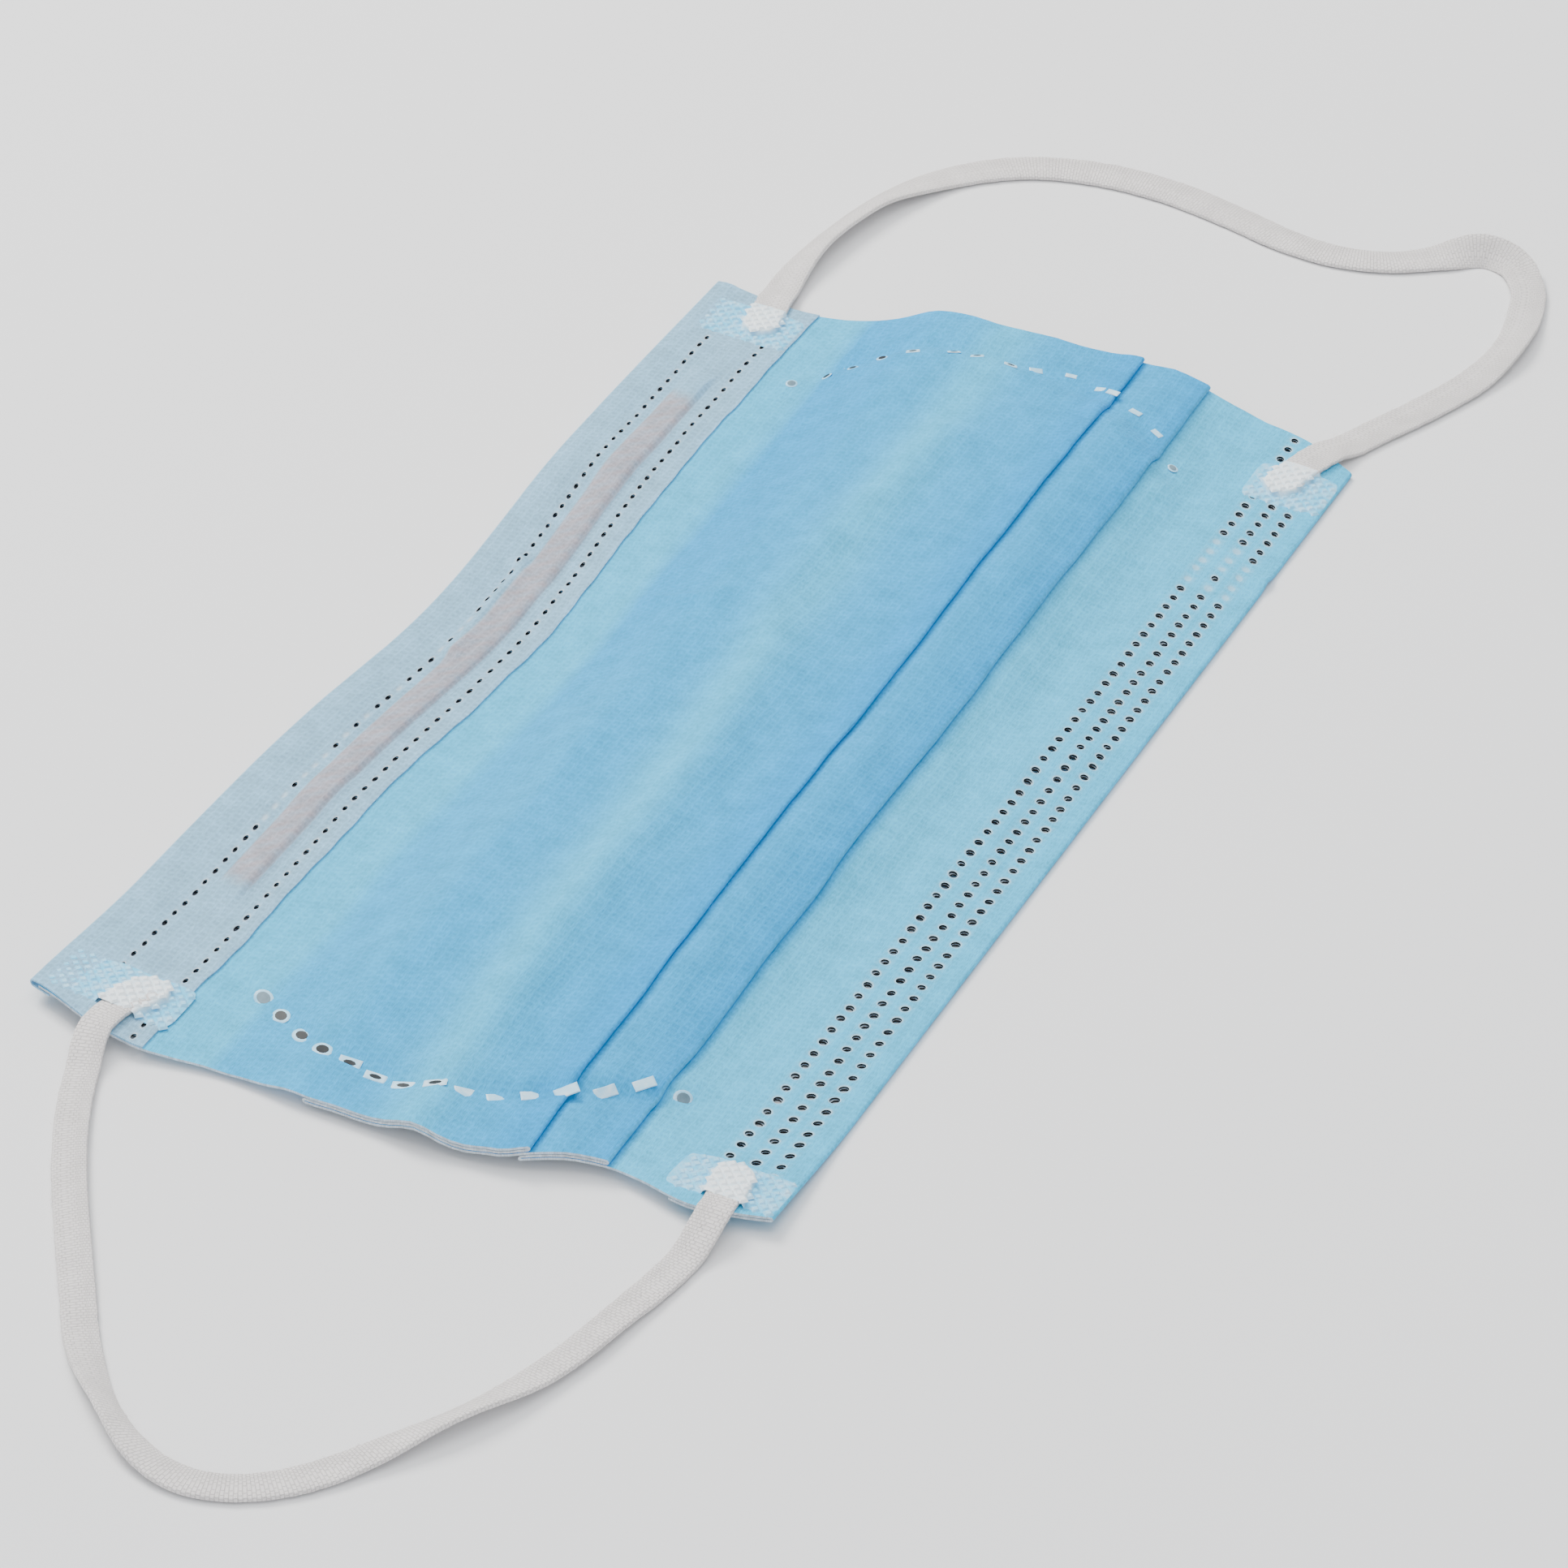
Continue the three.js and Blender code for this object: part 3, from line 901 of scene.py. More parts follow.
@dataclass
class PleatedPanel:
    """The three plies of the mask, pleated, with the chin hem folded under."""

    shape: LyingCloth
    outer: Material
    inner: Material
    # The last material is the near-black painted shade on the walls of the weld holes.
    fused: Material
    hem_end: float = -33.0
    flat_size: Point = (0.177, 0.167)

    def bends(self) -> list[Bend]:
        """Lists the section's bends from the nose edge to the end of the hem.

        Returns:
            The bends in order.
        """
        level = self.shape.level
        line = [Bend(42.8, 42.8, level(0))]
        for row in NOSE_ROWS[::-1]:
            line += row.lines(level(0), True)
        pleats = (
            (15.0, 19.0, 0), (9.8, 13.8, 2), (-10.5, -7.0, 2), (-15.3, -11.8, 4), (-17.0, -13.5, 4, 1),
            (-17.0, -13.5, 3), (-15.3, -11.8, 3), (-10.5, -7.0, 1), (8.5, 12.5, 1, 1), (8.5, 12.5, 0),
            (-10.5, -7.0, 0), (-15.3, -11.8, 2), (-24.9, -22.5, 2, 1), (-24.9, -22.5, 1),
            (-16.5, -13.0, 1, 1), (-16.5, -13.0, 0))
        line += [Bend(near, far, level(layer), turn=Turn(bool(turn)))
                 for near, far, layer, *turn in pleats]
        for row in CHIN_ROWS:
            line += row.lines(level(0), True)
        line += [Bend(-BORDER, -BORDER, level(0), turn=Turn.U_TURN), Bend(-BORDER, -BORDER, level(-1))]
        for row in CHIN_ROWS[::-1]:
            line += row.lines(level(-1), False)
        return line + [Bend(self.hem_end, self.hem_end, level(-1))]

    def tint(self, share: np.ndarray, y: np.ndarray) -> np.ndarray:
        """Gives how deep the blue is: more where several layers lie under each other, with painted shade
        beside the pleat edges and a painted highlight along the first pleat's ridge.

        Args:
            share: how far along the mask.
            y: place across the flat section.

        Returns:
            A tint between 0 and 1.
        """
        # Layers lie under each other from the foot of the top panel to the second edge.
        stack = ramp(21.0, 19.0, y - 2.7 * share) * ramp(-25.2, -24.9, y - 2.4 * share)
        fold = ramp(10.2, 8.6, y - 4.0 * share)
        # The first pleat's ridge gets less deep tint: a painted highlight.
        ridge = np.exp(-((y + 3.6 - 7.0 * share) / 3.6) ** 2)
        painted_groove_shade = 0.0
        # Painted shade on the nose side of both pleat edges: y at the near end, its gain, strength and
        # width.
        for near, gain, strength, wide in ((-17.0, 3.5, 0.75, 2.4), (-24.9, 2.4, 0.35, 3.0)):
            away = y - near - gain * share
            fade = np.exp(-np.maximum(away, 0) / wide)
            painted_groove_shade = painted_groove_shade + strength * fade * ramp(-0.25, 0.1, away)
        upper = 0.24 * ramp(0.35, 0.65, share) * (1 - fold)
        return np.clip(stack * (0.60 + 0.10 * fold + upper - 0.60 * ridge) + painted_groove_shade, 0, 1)

    def build(self) -> Object:
        """Returns:
            The finished piece.
        """
        wall = ClothWall(self.shape, self.bends(), self.shape.cloth)
        panel = wall.build("pleated_panel", (self.outer, self.inner, self.inner, self.fused),
                           NOSE_ROWS + CHIN_ROWS, self.tint)
        settle(panel, "mask_panel")
        return panel


@dataclass
class NoseHeader:
    """The inner ply turned over the nose edge onto the outer face."""

    shape: LyingCloth
    cloth: Material
    # The last material is the near-black painted shade on the walls of the weld holes.
    fused: Material
    leg_end: float = 41.2
    flat_size: Point = (0.176, 0.0195)

    def build(self) -> Object:
        """Returns:
            The finished piece.
        """
        shape = self.shape
        low, leg, puff = shape.level(0) + shape.cloth / 2 + SEAM_GAP + shape.ply / 2, 0.16, 0.16
        # The ply turns up round the nose edge, puffs out and steps over the wire.
        line = [Bend(self.leg_end, self.leg_end, leg), Bend(43.7, 43.7, leg, turn=Turn.U_TURN),
                Bend(43.7, 43.7, low), Bend(42.6, 42.6, low + puff), Bend(41.5, 41.9, low + puff)]
        line += NOSE_ROWS[1].lines(low, True)
        line += [Bend(35.65, 38.05, low), Bend(35.0, 37.2, low, 1.0), Bend(32.6, 34.6, low, 1.0),
                 Bend(31.8, 33.8, low)]
        line += NOSE_ROWS[0].lines(low, True)
        line += [Bend(27.9, 29.1, low)]
        wall = ClothWall(shape, line, shape.ply, 0.9)
        # Its cut edge isn't quite straight.
        wave = 0.10 * np.sin(wall.shares * 41) + 0.05 * np.sin(wall.shares * 173 + 1)
        wall.y[:, -1] += wave
        header = wall.build("nose_header_ply", (self.cloth, self.cloth, self.cloth, self.fused),
                            NOSE_ROWS, self.tint)
        settle(header, "nose_header")
        return header

    def tint(self, share: np.ndarray, y: np.ndarray) -> np.ndarray:
        """Gives where the coated wire tints the thin ply from below.

        Args:
            share: how far along the mask.
            y: place across the flat section.

        Returns:
            A tint between 0 and 1.
        """
        middle = y - WIRE_Y - WIRE_GAIN * share
        across = ramp(-2.1, -1.6, middle) * ramp(2.1, 1.6, middle)
        beads = 0.62 + 0.14 * np.sin(share * 620) * np.sin(middle * 3.4)
        return beads * across * ramp(0.17, 0.19, share) * ramp(0.855, 0.835, share)


@dataclass
class NoseWire:
    """The flat coated wire between the header and the panel."""

    shape: LyingCloth
    coat: Material
    width: float = 2.4
    thick: float = 0.5
    gap: float = 0.04              # air under it
    stations: int = 120
    cloth_start: float = -87.0     # where the cloth starts beside it
    cloth_length: float = 171.5

    def build(self) -> Object:
        """Builds the wire as a closed strip with rounded edges.

        Returns:
            The finished piece.
        """
        shares = (np.linspace(*WIRE_X, self.stations + 1) - self.cloth_start) / self.cloth_length
        outline = [(math.cos(a), math.sin(a)) for a in np.linspace(0, 2 * math.pi, 17)[:-1]]
        across = [math.copysign(abs(c) ** 0.5, c) * self.width / 2 for c, _ in outline]
        up = [math.copysign(abs(s) ** 0.6, s) * self.thick / 2 for _, s in outline]
        middle = self.shape.level(0) + self.shape.cloth / 2 + self.gap + self.thick / 2
        count = len(outline)
        share = np.repeat(shares, count)
        y = WIRE_Y + WIRE_GAIN * share + np.tile(across, self.stations + 1)
        points = self.shape.place(share, y, middle + np.tile(up, self.stations + 1))
        faces = tube_faces(self.stations + 1, count)
        wire = make_object("coated_nose_wire", points, faces, (self.coat,))
        settle(wire, "nose_wire")
        return wire


# ---- ear loops ---------------------------------------------------------------------


@dataclass(frozen=True)
class Roll:
    """A stretch where the band stands partly on its edge."""

    x: float
    y: float
    degrees: float
    spread: float


@dataclass
class EarLoop:
    """A flat knitted elastic band, welded on two corners of the mask."""

    name: str
    node: str
    route: tuple[Point, ...]
    rolls: tuple[Roll, ...]
    shape: LyingCloth
    cloth: Material
    width: float
    thick: float = 0.8
    ribs: int = 8
    around: int = 44
    step: float = 0.6
    carried: float = 0.8    # how far past the short end the cloth still carries it
    bed: float = 0.08       # how deep it is pressed into the cloth
    rest: float = 0.47      # its middle over the table where it lies flat
    stand: float = 1.5      # how much higher its middle is where it stands on edge
    slope: float = 0.42     # the steepest that it runs down from the cloth
    soft: float = 1.6       # how far its rises are rounded off
    path: np.ndarray = field(default_factory=lambda: np.zeros((0, 3)))

    def sampled(self) -> tuple[np.ndarray, np.ndarray]:
        """Samples the route evenly and lays it on the table and the corners.

        Returns:
            The middle line and the roll at each of its points.
        """
        corners = np.array(self.route, float)
        gaps = np.linalg.norm(np.diff(corners, axis=0), axis=1)
        keys = np.concatenate([[0], np.cumsum(gaps)])
        s = np.linspace(0, keys[-1], int(keys[-1] / self.step) + 1)
        x, y = smooth_table(s, keys, corners[:, 0]), smooth_table(s, keys, corners[:, 1])
        shape = self.shape
        inner = np.where(x < 0, smooth_table(y, shape.end_y, shape.near_x) - self.carried < x,
                         smooth_table(y, shape.end_y, shape.far_x) + self.carried > x)
        roll = np.zeros(len(s))
        for item in self.rolls:
            middle = s[np.argmin(np.hypot(x - item.x, y - item.y))]
            roll += math.radians(item.degrees) * np.exp(-((s - middle) / item.spread) ** 2)
        needed = np.where(inner, shape.top(x, y) + self.thick / 2 - self.bed,
                          self.rest + self.stand * np.abs(np.sin(roll)))
        reach = np.abs(s[:, None] - s[None, :])
        z = np.max(needed[None, :] - self.slope * np.maximum(reach - 0.5, 0), axis=1)
        weight = np.exp(-(reach / self.soft) ** 2)
        z = np.maximum(weight @ z / weight.sum(axis=1), needed)
        return np.stack([x, y, z], axis=1), roll

    def section(self) -> np.ndarray:
        """Gives the ribbed outline of the band.

        Returns:
            Rows of place across and height.
        """
        angle = np.linspace(0, 2 * math.pi, self.around, endpoint=False)
        across = np.sign(np.cos(angle)) * np.abs(np.cos(angle)) ** 0.45
        up = np.sign(np.sin(angle)) * np.abs(np.sin(angle)) ** 0.5
        ribbing = 0.93 + 0.07 * np.abs(np.cos(across * self.ribs * math.pi / 2))
        return np.stack([across * self.width / 2, up * self.thick / 2 * ribbing], axis=1)

    def build(self) -> Object:
        """Builds the band and its loose fibres, and logs its length.

        Returns:
            The finished band.
        """
        middle, roll = self.sampled()
        self.path = middle
        tangent = np.gradient(middle, axis=0)
        tangent /= np.linalg.norm(tangent, axis=1)[:, None]
        side = np.cross([0.0, 0.0, 1.0], tangent)
        side /= np.linalg.norm(side, axis=1)[:, None]
        up = np.cross(tangent, side)
        cos, sin = np.cos(roll)[:, None], np.sin(roll)[:, None]
        turned, raised = side * cos + up * sin, up * cos - side * sin
        outline = self.section()
        rng = np.random.default_rng(11)
        swell = 1 + 0.012 * rng.standard_normal(len(middle))
        across = (outline[:, 0][None, :] * swell[:, None])[..., None]
        points = (middle[:, None, :] + turned[:, None, :] * across
                  + raised[:, None, :] * outline[:, 1][None, :, None])
        points[..., 2] = np.maximum(points[..., 2], TABLE)
        length = np.concatenate([[0], np.cumsum(np.linalg.norm(np.diff(middle, axis=0), axis=1))])
        girth = np.cumsum(np.linalg.norm(np.diff(outline, axis=0, append=outline[:1]), axis=1))
        uv = np.stack(np.broadcast_arrays(girth[None, :], length[:, None]), axis=-1).reshape(-1, 2)
        band = make_object(self.name, points.reshape(-1, 3), tube_faces(len(middle), self.around),
                           (self.cloth,), uv=uv, sharp=75)
        fuzz = loose_fibres(f"{self.name}_fibres", band, self.cloth)
        for vertex in fuzz.data.vertices:
            vertex.co.z = max(vertex.co.z, TABLE * MM)
        settle(band, self.node)
        settle(fuzz)
        line = [tuple(float(c) * MM for c in p) for p in middle[::4]]
        line.append(tuple(float(c) * MM for c in middle[-1]))
        LOG.info("%s: %.0f mm of elastic", self.name, length[-1])
        return band


# ---- repeated details from geometry nodes ------------------------------------------


class NodeWork:
    """A geometry node tree with named inputs, run once on a mesh and kept as a plain mesh."""

    def __init__(self, name: str, inputs: dict[str, tuple[str, Any]]) -> None:
        """Makes the tree.

        Args:
            name: the tree's name.
            inputs: input name to its socket type and value.
        """
        self.tree = bpy.data.node_groups.new(name, "GeometryNodeTree")
        self.desk = NodeDesk(self.tree)
        self.tree.interface.new_socket("Geometry", in_out="INPUT", socket_type="NodeSocketGeometry")
        self.tree.interface.new_socket("Geometry", in_out="OUTPUT", socket_type="NodeSocketGeometry")
        self.values: dict[str, Any] = {}
        for label, (kind, value) in inputs.items():
            socket = self.tree.interface.new_socket(label, in_out="INPUT", socket_type=kind)
            self.values[socket.identifier] = value
        self.given = self.desk.add("NodeGroupInput").outputs

    def end(self, geometry: NodeSocket) -> None:
        """Ends the tree in real meshes with their material.

        Args:
            geometry: the last result of the tree.
        """
        real = self.desk.add("GeometryNodeRealizeInstances", {0: geometry}).outputs[0]
        done = self.desk.add("GeometryNodeSetMaterial", {
            "Geometry": real, "Material": self.given["Material"]})
        self.desk.add("NodeGroupOutput", {0: done.outputs[0]})

    def run(self, source: Object, name: str, keep_source: bool) -> Object:
        """Runs the tree on a mesh.

        Args:
            source: the object that carries the points or faces.
            name: name of the result.
            keep_source: whether the source stays in the scene.

        Returns:
            A new object with a plain mesh.
        """
        modifier = source.modifiers.new("work", "NODES")
        modifier.node_group = self.tree
        for key, value in self.values.items():
            modifier[key] = value
        ready = source.evaluated_get(bpy.context.evaluated_depsgraph_get())
        mesh = bpy.data.meshes.new_from_object(ready)
        mesh.name = name
        source.modifiers.remove(modifier)
        if not keep_source:
            bpy.data.objects.remove(source)
        thing = bpy.data.objects.new(name, mesh)
        bpy.context.scene.collection.objects.link(thing)
        return thing


def loose_fibres(name: str, band: Object, material: Material) -> Object:
    """Grows short stray yarn ends on an elastic band.

    Args:
        name: name of the piece.
        band: the elastic.
        material: its finish.

    Returns:
        The fibres as one mesh.
    """
    work = NodeWork(f"{name}_tree", {
        "Density": ("NodeSocketFloat", 700000.0), "Length": ("NodeSocketFloat", 0.7 * MM),
        "Radius": ("NodeSocketFloat", 0.014 * MM), "Seed": ("NodeSocketInt", 5),
        "Material": ("NodeSocketMaterial", material)})
    desk, given = work.desk, work.given
    points = desk.add("GeometryNodeDistributePointsOnFaces", {
        "Mesh": given["Geometry"], "Density": given["Density"], "Seed": given["Seed"]})
    tip, knee = (
        desk.add("ShaderNodeCombineXYZ", {
            axis: desk.calc(given["Length"], share, "MULTIPLY") for axis, share in shares}).outputs[0]
        for shares in (((0, 0.8), (2, 0.55)), ((2, 0.5),)))
    line = desk.add("GeometryNodeCurveQuadraticBezier", {
        "Resolution": 3, "Start": (0, 0, 0), "Middle": knee, "End": tip})
    ring = desk.add("GeometryNodeCurvePrimitiveCircle", {"Resolution": 3, "Radius": given["Radius"]})
    fibre = desk.add("GeometryNodeCurveToMesh", {
        0: line.outputs[0], 1: ring.outputs[0], "Fill Caps": True})
    turn = desk.add("FunctionNodeRandomValue", {
        "Min": (0, 0, 0), "Max": (0.9, 0.9, 6.28), "Seed": given["Seed"]},
        data_type="FLOAT_VECTOR").outputs[0]
    size = desk.add("FunctionNodeRandomValue", {
        2: 0.35, 3: 1.0, "Seed": given["Seed"]}, data_type="FLOAT").outputs[1]
    placed = desk.add("GeometryNodeInstanceOnPoints", {
        "Points": points.outputs["Points"], "Instance": fibre.outputs[0],
        "Rotation": points.outputs["Rotation"], "Scale": size}).outputs[0]
    spun = desk.add("GeometryNodeRotateInstances", {0: placed, "Rotation": turn}).outputs[0]
    work.end(spun)
    return work.run(band, name, True)


@dataclass(frozen=True)
class Stamp:
    """The raised shape that a patterned horn leaves between its teeth."""

    sides: int
    length: float
    width: float
    height: float
    top_share: float
    turned: float = 0.0

    def press(self, name: str, points: np.ndarray, turns: np.ndarray,
              material: Material, pads: np.ndarray) -> Object:
        """Puts one shape on each point.

        Args:
            name: name of the piece.
            points: where the shapes stand, in millimetres.
            turns: the Euler angles of each, in radians, one row a point.
            material: their finish.
            pads: how pale each is.

        Returns:
            The shapes as one mesh.
        """
        source = make_object(name + "_points", points, [], (material,), attributes={
            "turn_x": turns[:, 0], "turn_y": turns[:, 1], "turn_z": turns[:, 2], "pad": pads})
        work = NodeWork(f"{name}_tree", {
            "Sides": ("NodeSocketInt", self.sides), "Length": ("NodeSocketFloat", self.length * MM),
            "Width": ("NodeSocketFloat", self.width * MM),
            "Height": ("NodeSocketFloat", self.height * MM),
            "Top share": ("NodeSocketFloat", self.top_share),
            "Turned": ("NodeSocketFloat", self.turned),
            "Seed": ("NodeSocketInt", 3), "Material": ("NodeSocketMaterial", material)})
        desk, given = work.desk, work.given
        shape = desk.add("GeometryNodeMeshCone", {
            "Vertices": given["Sides"], "Radius Top": given["Top share"], "Radius Bottom": 1.0,
            "Depth": 1.0})
        start = desk.add("ShaderNodeCombineXYZ", {2: given["Turned"]}).outputs[0]
        shape = desk.add("GeometryNodeTransform", {"Geometry": shape.outputs[0], "Rotation": start})
        size = desk.add("ShaderNodeCombineXYZ", {
            0: desk.calc(given["Length"], 0.5, "MULTIPLY"),
            1: desk.calc(given["Width"], 0.5, "MULTIPLY"),
            2: given["Height"]}).outputs[0]
        angles = {
            axis: desk.add("GeometryNodeInputNamedAttribute", {"Name": label}, data_type="FLOAT").outputs[0]
            for axis, label in enumerate(("turn_x", "turn_y", "turn_z"))}
        spin = desk.add("ShaderNodeCombineXYZ", angles).outputs[0]
        cloud = desk.add("GeometryNodeMeshToPoints", {"Mesh": given["Geometry"]}).outputs[0]
        placed = desk.add("GeometryNodeInstanceOnPoints", {
            "Points": cloud, "Instance": shape.outputs[0], "Rotation": spin, "Scale": size}).outputs[0]
        change = desk.add("FunctionNodeRandomValue", {
            2: 0.85, 3: 1.1, "Seed": given["Seed"]}, data_type="FLOAT").outputs[1]
        varied = desk.add("GeometryNodeScaleInstances", {0: placed, "Scale": change}).outputs[0]
        work.end(varied)
        return work.run(source, name, False)


@dataclass
class CornerWeld:
    """The knurled patch that holds one end of an ear loop on a corner."""

    name: str
    shape: LyingCloth
    film: Material
    loop: EarLoop
    x: Point
    y: Point
    pitch: float = 1.5
    proud: float = 0.05                 # how far the skin lies above the cloth
    skin: float = 0.06                  # its thickness
    edge: float = 0.07                  # how far its border is pressed down
    band_end: Point = (2.6, 2.1)        # from the band's middle, where it falls to the cloth
    reach: float = 9.0                  # the stretch of band that is near it
    grid: tuple[int, int] = (37, 75)
    knurl: Stamp = Stamp(4, 1.36, 1.36, 0.24, 0.5)

    def height(self, x: np.ndarray, y: np.ndarray) -> tuple[np.ndarray, np.ndarray]:
        """Gives the height of the pressed skin over the cloth and the band's end.

        Args:
            x: positions along the mask.
            y: positions across it.

        Returns:
            The heights, and how far each point lies on the band.
        """
        flat = self.shape.top(x, y) + self.proud
        path = self.loop.path
        near = path[np.hypot(path[:, 0] - np.mean(self.x), path[:, 1] - np.mean(self.y)) < self.reach]
        away = np.min(np.hypot(x[..., None] - near[:, 0], y[..., None] - near[:, 1]), axis=-1)
        on_band = ramp(*self.band_end, away)
        return flat + on_band * (self.loop.thick - 0.03), on_band

    def build(self) -> Object:
        """Builds the pressed skin and its knurls.

        Returns:
            The finished patch.
        """
        columns, rows = self.grid
        u, v = np.meshgrid(np.linspace(-1, 1, columns), np.linspace(-1, 1, rows), indexing="ij")
        # The patch is rounded off at its corners.
        round_off = 1 - 0.12 * np.abs(v) ** 6
        x = np.mean(self.x) + u * round_off * np.ptp(self.x) / 2
        y = np.mean(self.y) + v * (1 - 0.08 * np.abs(u) ** 6) * np.ptp(self.y) / 2
        z, pad = self.height(x, y)
        border = np.minimum(1 - np.abs(u), (1 - np.abs(v)) * 2)
        z_top = z - self.edge * (1 - ramp(0, 0.12, border))
        top = np.stack([x, y, z_top], axis=-1).reshape(-1, 3)
        low = top - [0, 0, self.skin]
        total = columns * rows
        faces: list[Sequence[int]] = []
        for i in range(columns - 1):
            for k in range(rows - 1):
                a = i * rows + k
                quad = (a, a + rows, a + rows + 1, a + 1)
                faces += [quad, [q + total for q in quad[::-1]]]
        edge = ([i * rows for i in range(columns)] + [(columns - 1) * rows + k for k in range(1, rows)]
                + [i * rows + rows - 1 for i in range(columns - 2, -1, -1)]
                + list(range(rows - 2, 0, -1)))
        for a, b in zip(edge, edge[1:] + edge[:1]):
            faces.append((a, a + total, b + total, b))
        skin = make_object(self.name, np.concatenate([top, low]), faces, (self.film,),
                           attributes={"pad": np.tile(pad.reshape(-1), 2) * 0.8})
        # Every second column of knurls is half a step on.
        spots = []
        for i in range(int(np.ptp(self.x) / self.pitch * 2)):
            for k in range(int(np.ptp(self.y) / self.pitch)):
                spots.append((self.x[0] + 0.5 + i * self.pitch / 2,
                              self.y[0] + 0.6 + (k + 0.5 * (i % 2)) * self.pitch))
        spots = np.array([p for p in spots if p[0] < self.x[1] - 0.4 and p[1] < self.y[1] - 0.4])
        spot_z, spot_pad = self.height(spots[:, 0], spots[:, 1])
        knurls = self.knurl.press(
            self.name + "_knurls", np.column_stack([spots, spot_z - self.proud]),
            np.zeros((len(spots), 3)), self.film, 0.10 + 0.85 * spot_pad)
        settle(skin)
        settle(knurls)
        return skin


@dataclass
class SideWelds:
    """The pressed dashes that hold the pleats closed along each short end."""

    shape: LyingCloth
    film: Material
    # Near-black and grey film for the holes, slots and end marks: painted shade for the dark seen in them.
    painted_hole_shade: Material
    shade: Material
    panel: Object
    thick: float = 0.07
    near: tuple[Point, ...] = (
        (-74.4, 21.1), (-76.4, 17.8), (-78.6, 14), (-80.3, 10.5), (-80.8, 6.9), (-81.3, 3.5),
        (-81.5, 0), (-81, -3.6), (-80.5, -7), (-79.2, -10.1), (-77.5, -13.3), (-76, -16.8),
        (-73.3, -20.1), (-70, -23.1), (-68, -26.8))
    far: tuple[Point, ...] = (
        (66.8, 24.9), (70.2, 21.6), (73.9, 19.7), (75.9, 16.6), (75.7, 12.4), (77.6, 7.6),
        (78.5, 4.8), (78.8, 0.3), (79.7, -2.8), (81.2, -7), (79.9, -11.5), (79.2, -13.5),
        (77.4, -17.4), (75.4, -21.2), (71.8, -25))

    def build(self) -> list[Object]:
        """Builds the dashes on the cloth's upper face.

        Returns:
            The finished pieces.
        """
        made = []
        for side, marks, size in (("near", self.near, 1.0), ("far", self.far, 0.66)):
            places = np.array(marks)
            direction = np.gradient(places, axis=0)
            surface, normals, turns = [], [], []
            for (x, y), (dx, dy) in zip(places, direction):
                above = Vector((x * MM, y * MM, 0.05))
                hit, spot, normal, _ = self.panel.ray_cast(above, Vector((0, 0, -1)))
                normal = normal if hit else Vector((0, 0, 1))
                flat = Matrix.Rotation(math.atan2(dy, dx) + 0.2, 3, "Z")
                tilt = Vector((0, 0, 1)).rotation_difference(normal).to_matrix()
                turns.append((tilt @ flat).to_euler())
                surface.append((x, y, spot.z / MM if hit else 2.0))
                normals.append(normal)
            surface, normals, turns = np.array(surface), np.array(normals), np.array(turns)
            first, middle = np.arange(len(places)) < 4, np.arange(len(places)) < 8
            ends = np.isin(np.arange(len(places)), (0, len(places) - 1))
            # Holes and slots take near-black film and the end marks grey film: painted shade for the dark
            # seen in them.
            # Each row: kind, its marks, corners, length, width, top share, turn, finish, how
            # far it stands out, how pale it is.
            shapes = (
                ("halos", ~ends & ~first, 4, 3.5, 1.75, 0.85, math.pi / 4, self.film, 0.02, 0.35),
                ("rims", ends | first, 14, 2.3, 1.9, 0.8, 0.0, self.film, 0.02, 0.2),
                ("holes", ~ends & first, 12, 1.5, 1.2, 0.95, 0.0, self.painted_hole_shade, 0.05, 0.0),
                ("slots", ~ends & ~first & middle, 8, 1.5, 0.65, 0.9, 0.0, self.painted_hole_shade, 0.05, 0.35),
                ("eyes", ends, 14, 1.7, 1.4, 0.9, 0.0, self.shade, 0.05, 0.0))
            for kind, chosen, sides, long, wide, top, turned, material, proud, pad in shapes:
                stamp = Stamp(sides, long * size, wide * size, self.thick, top, turned)
                points = surface[chosen] + normals[chosen] * proud
                piece = stamp.press(f"side_weld_{kind}_{side}", points, turns[chosen], material,
                                    np.full(len(points), pad))
                settle(piece)
                made.append(piece)
        return made


# ---- studio ------------------------------------------------------------------------


@dataclass(frozen=True)
class Lamp:
    """A soft square light aimed at the mask."""

    name: str
    place: tuple[float, float, float]
    size: float
    watts: float
    colour: str = "#FFFFFF"


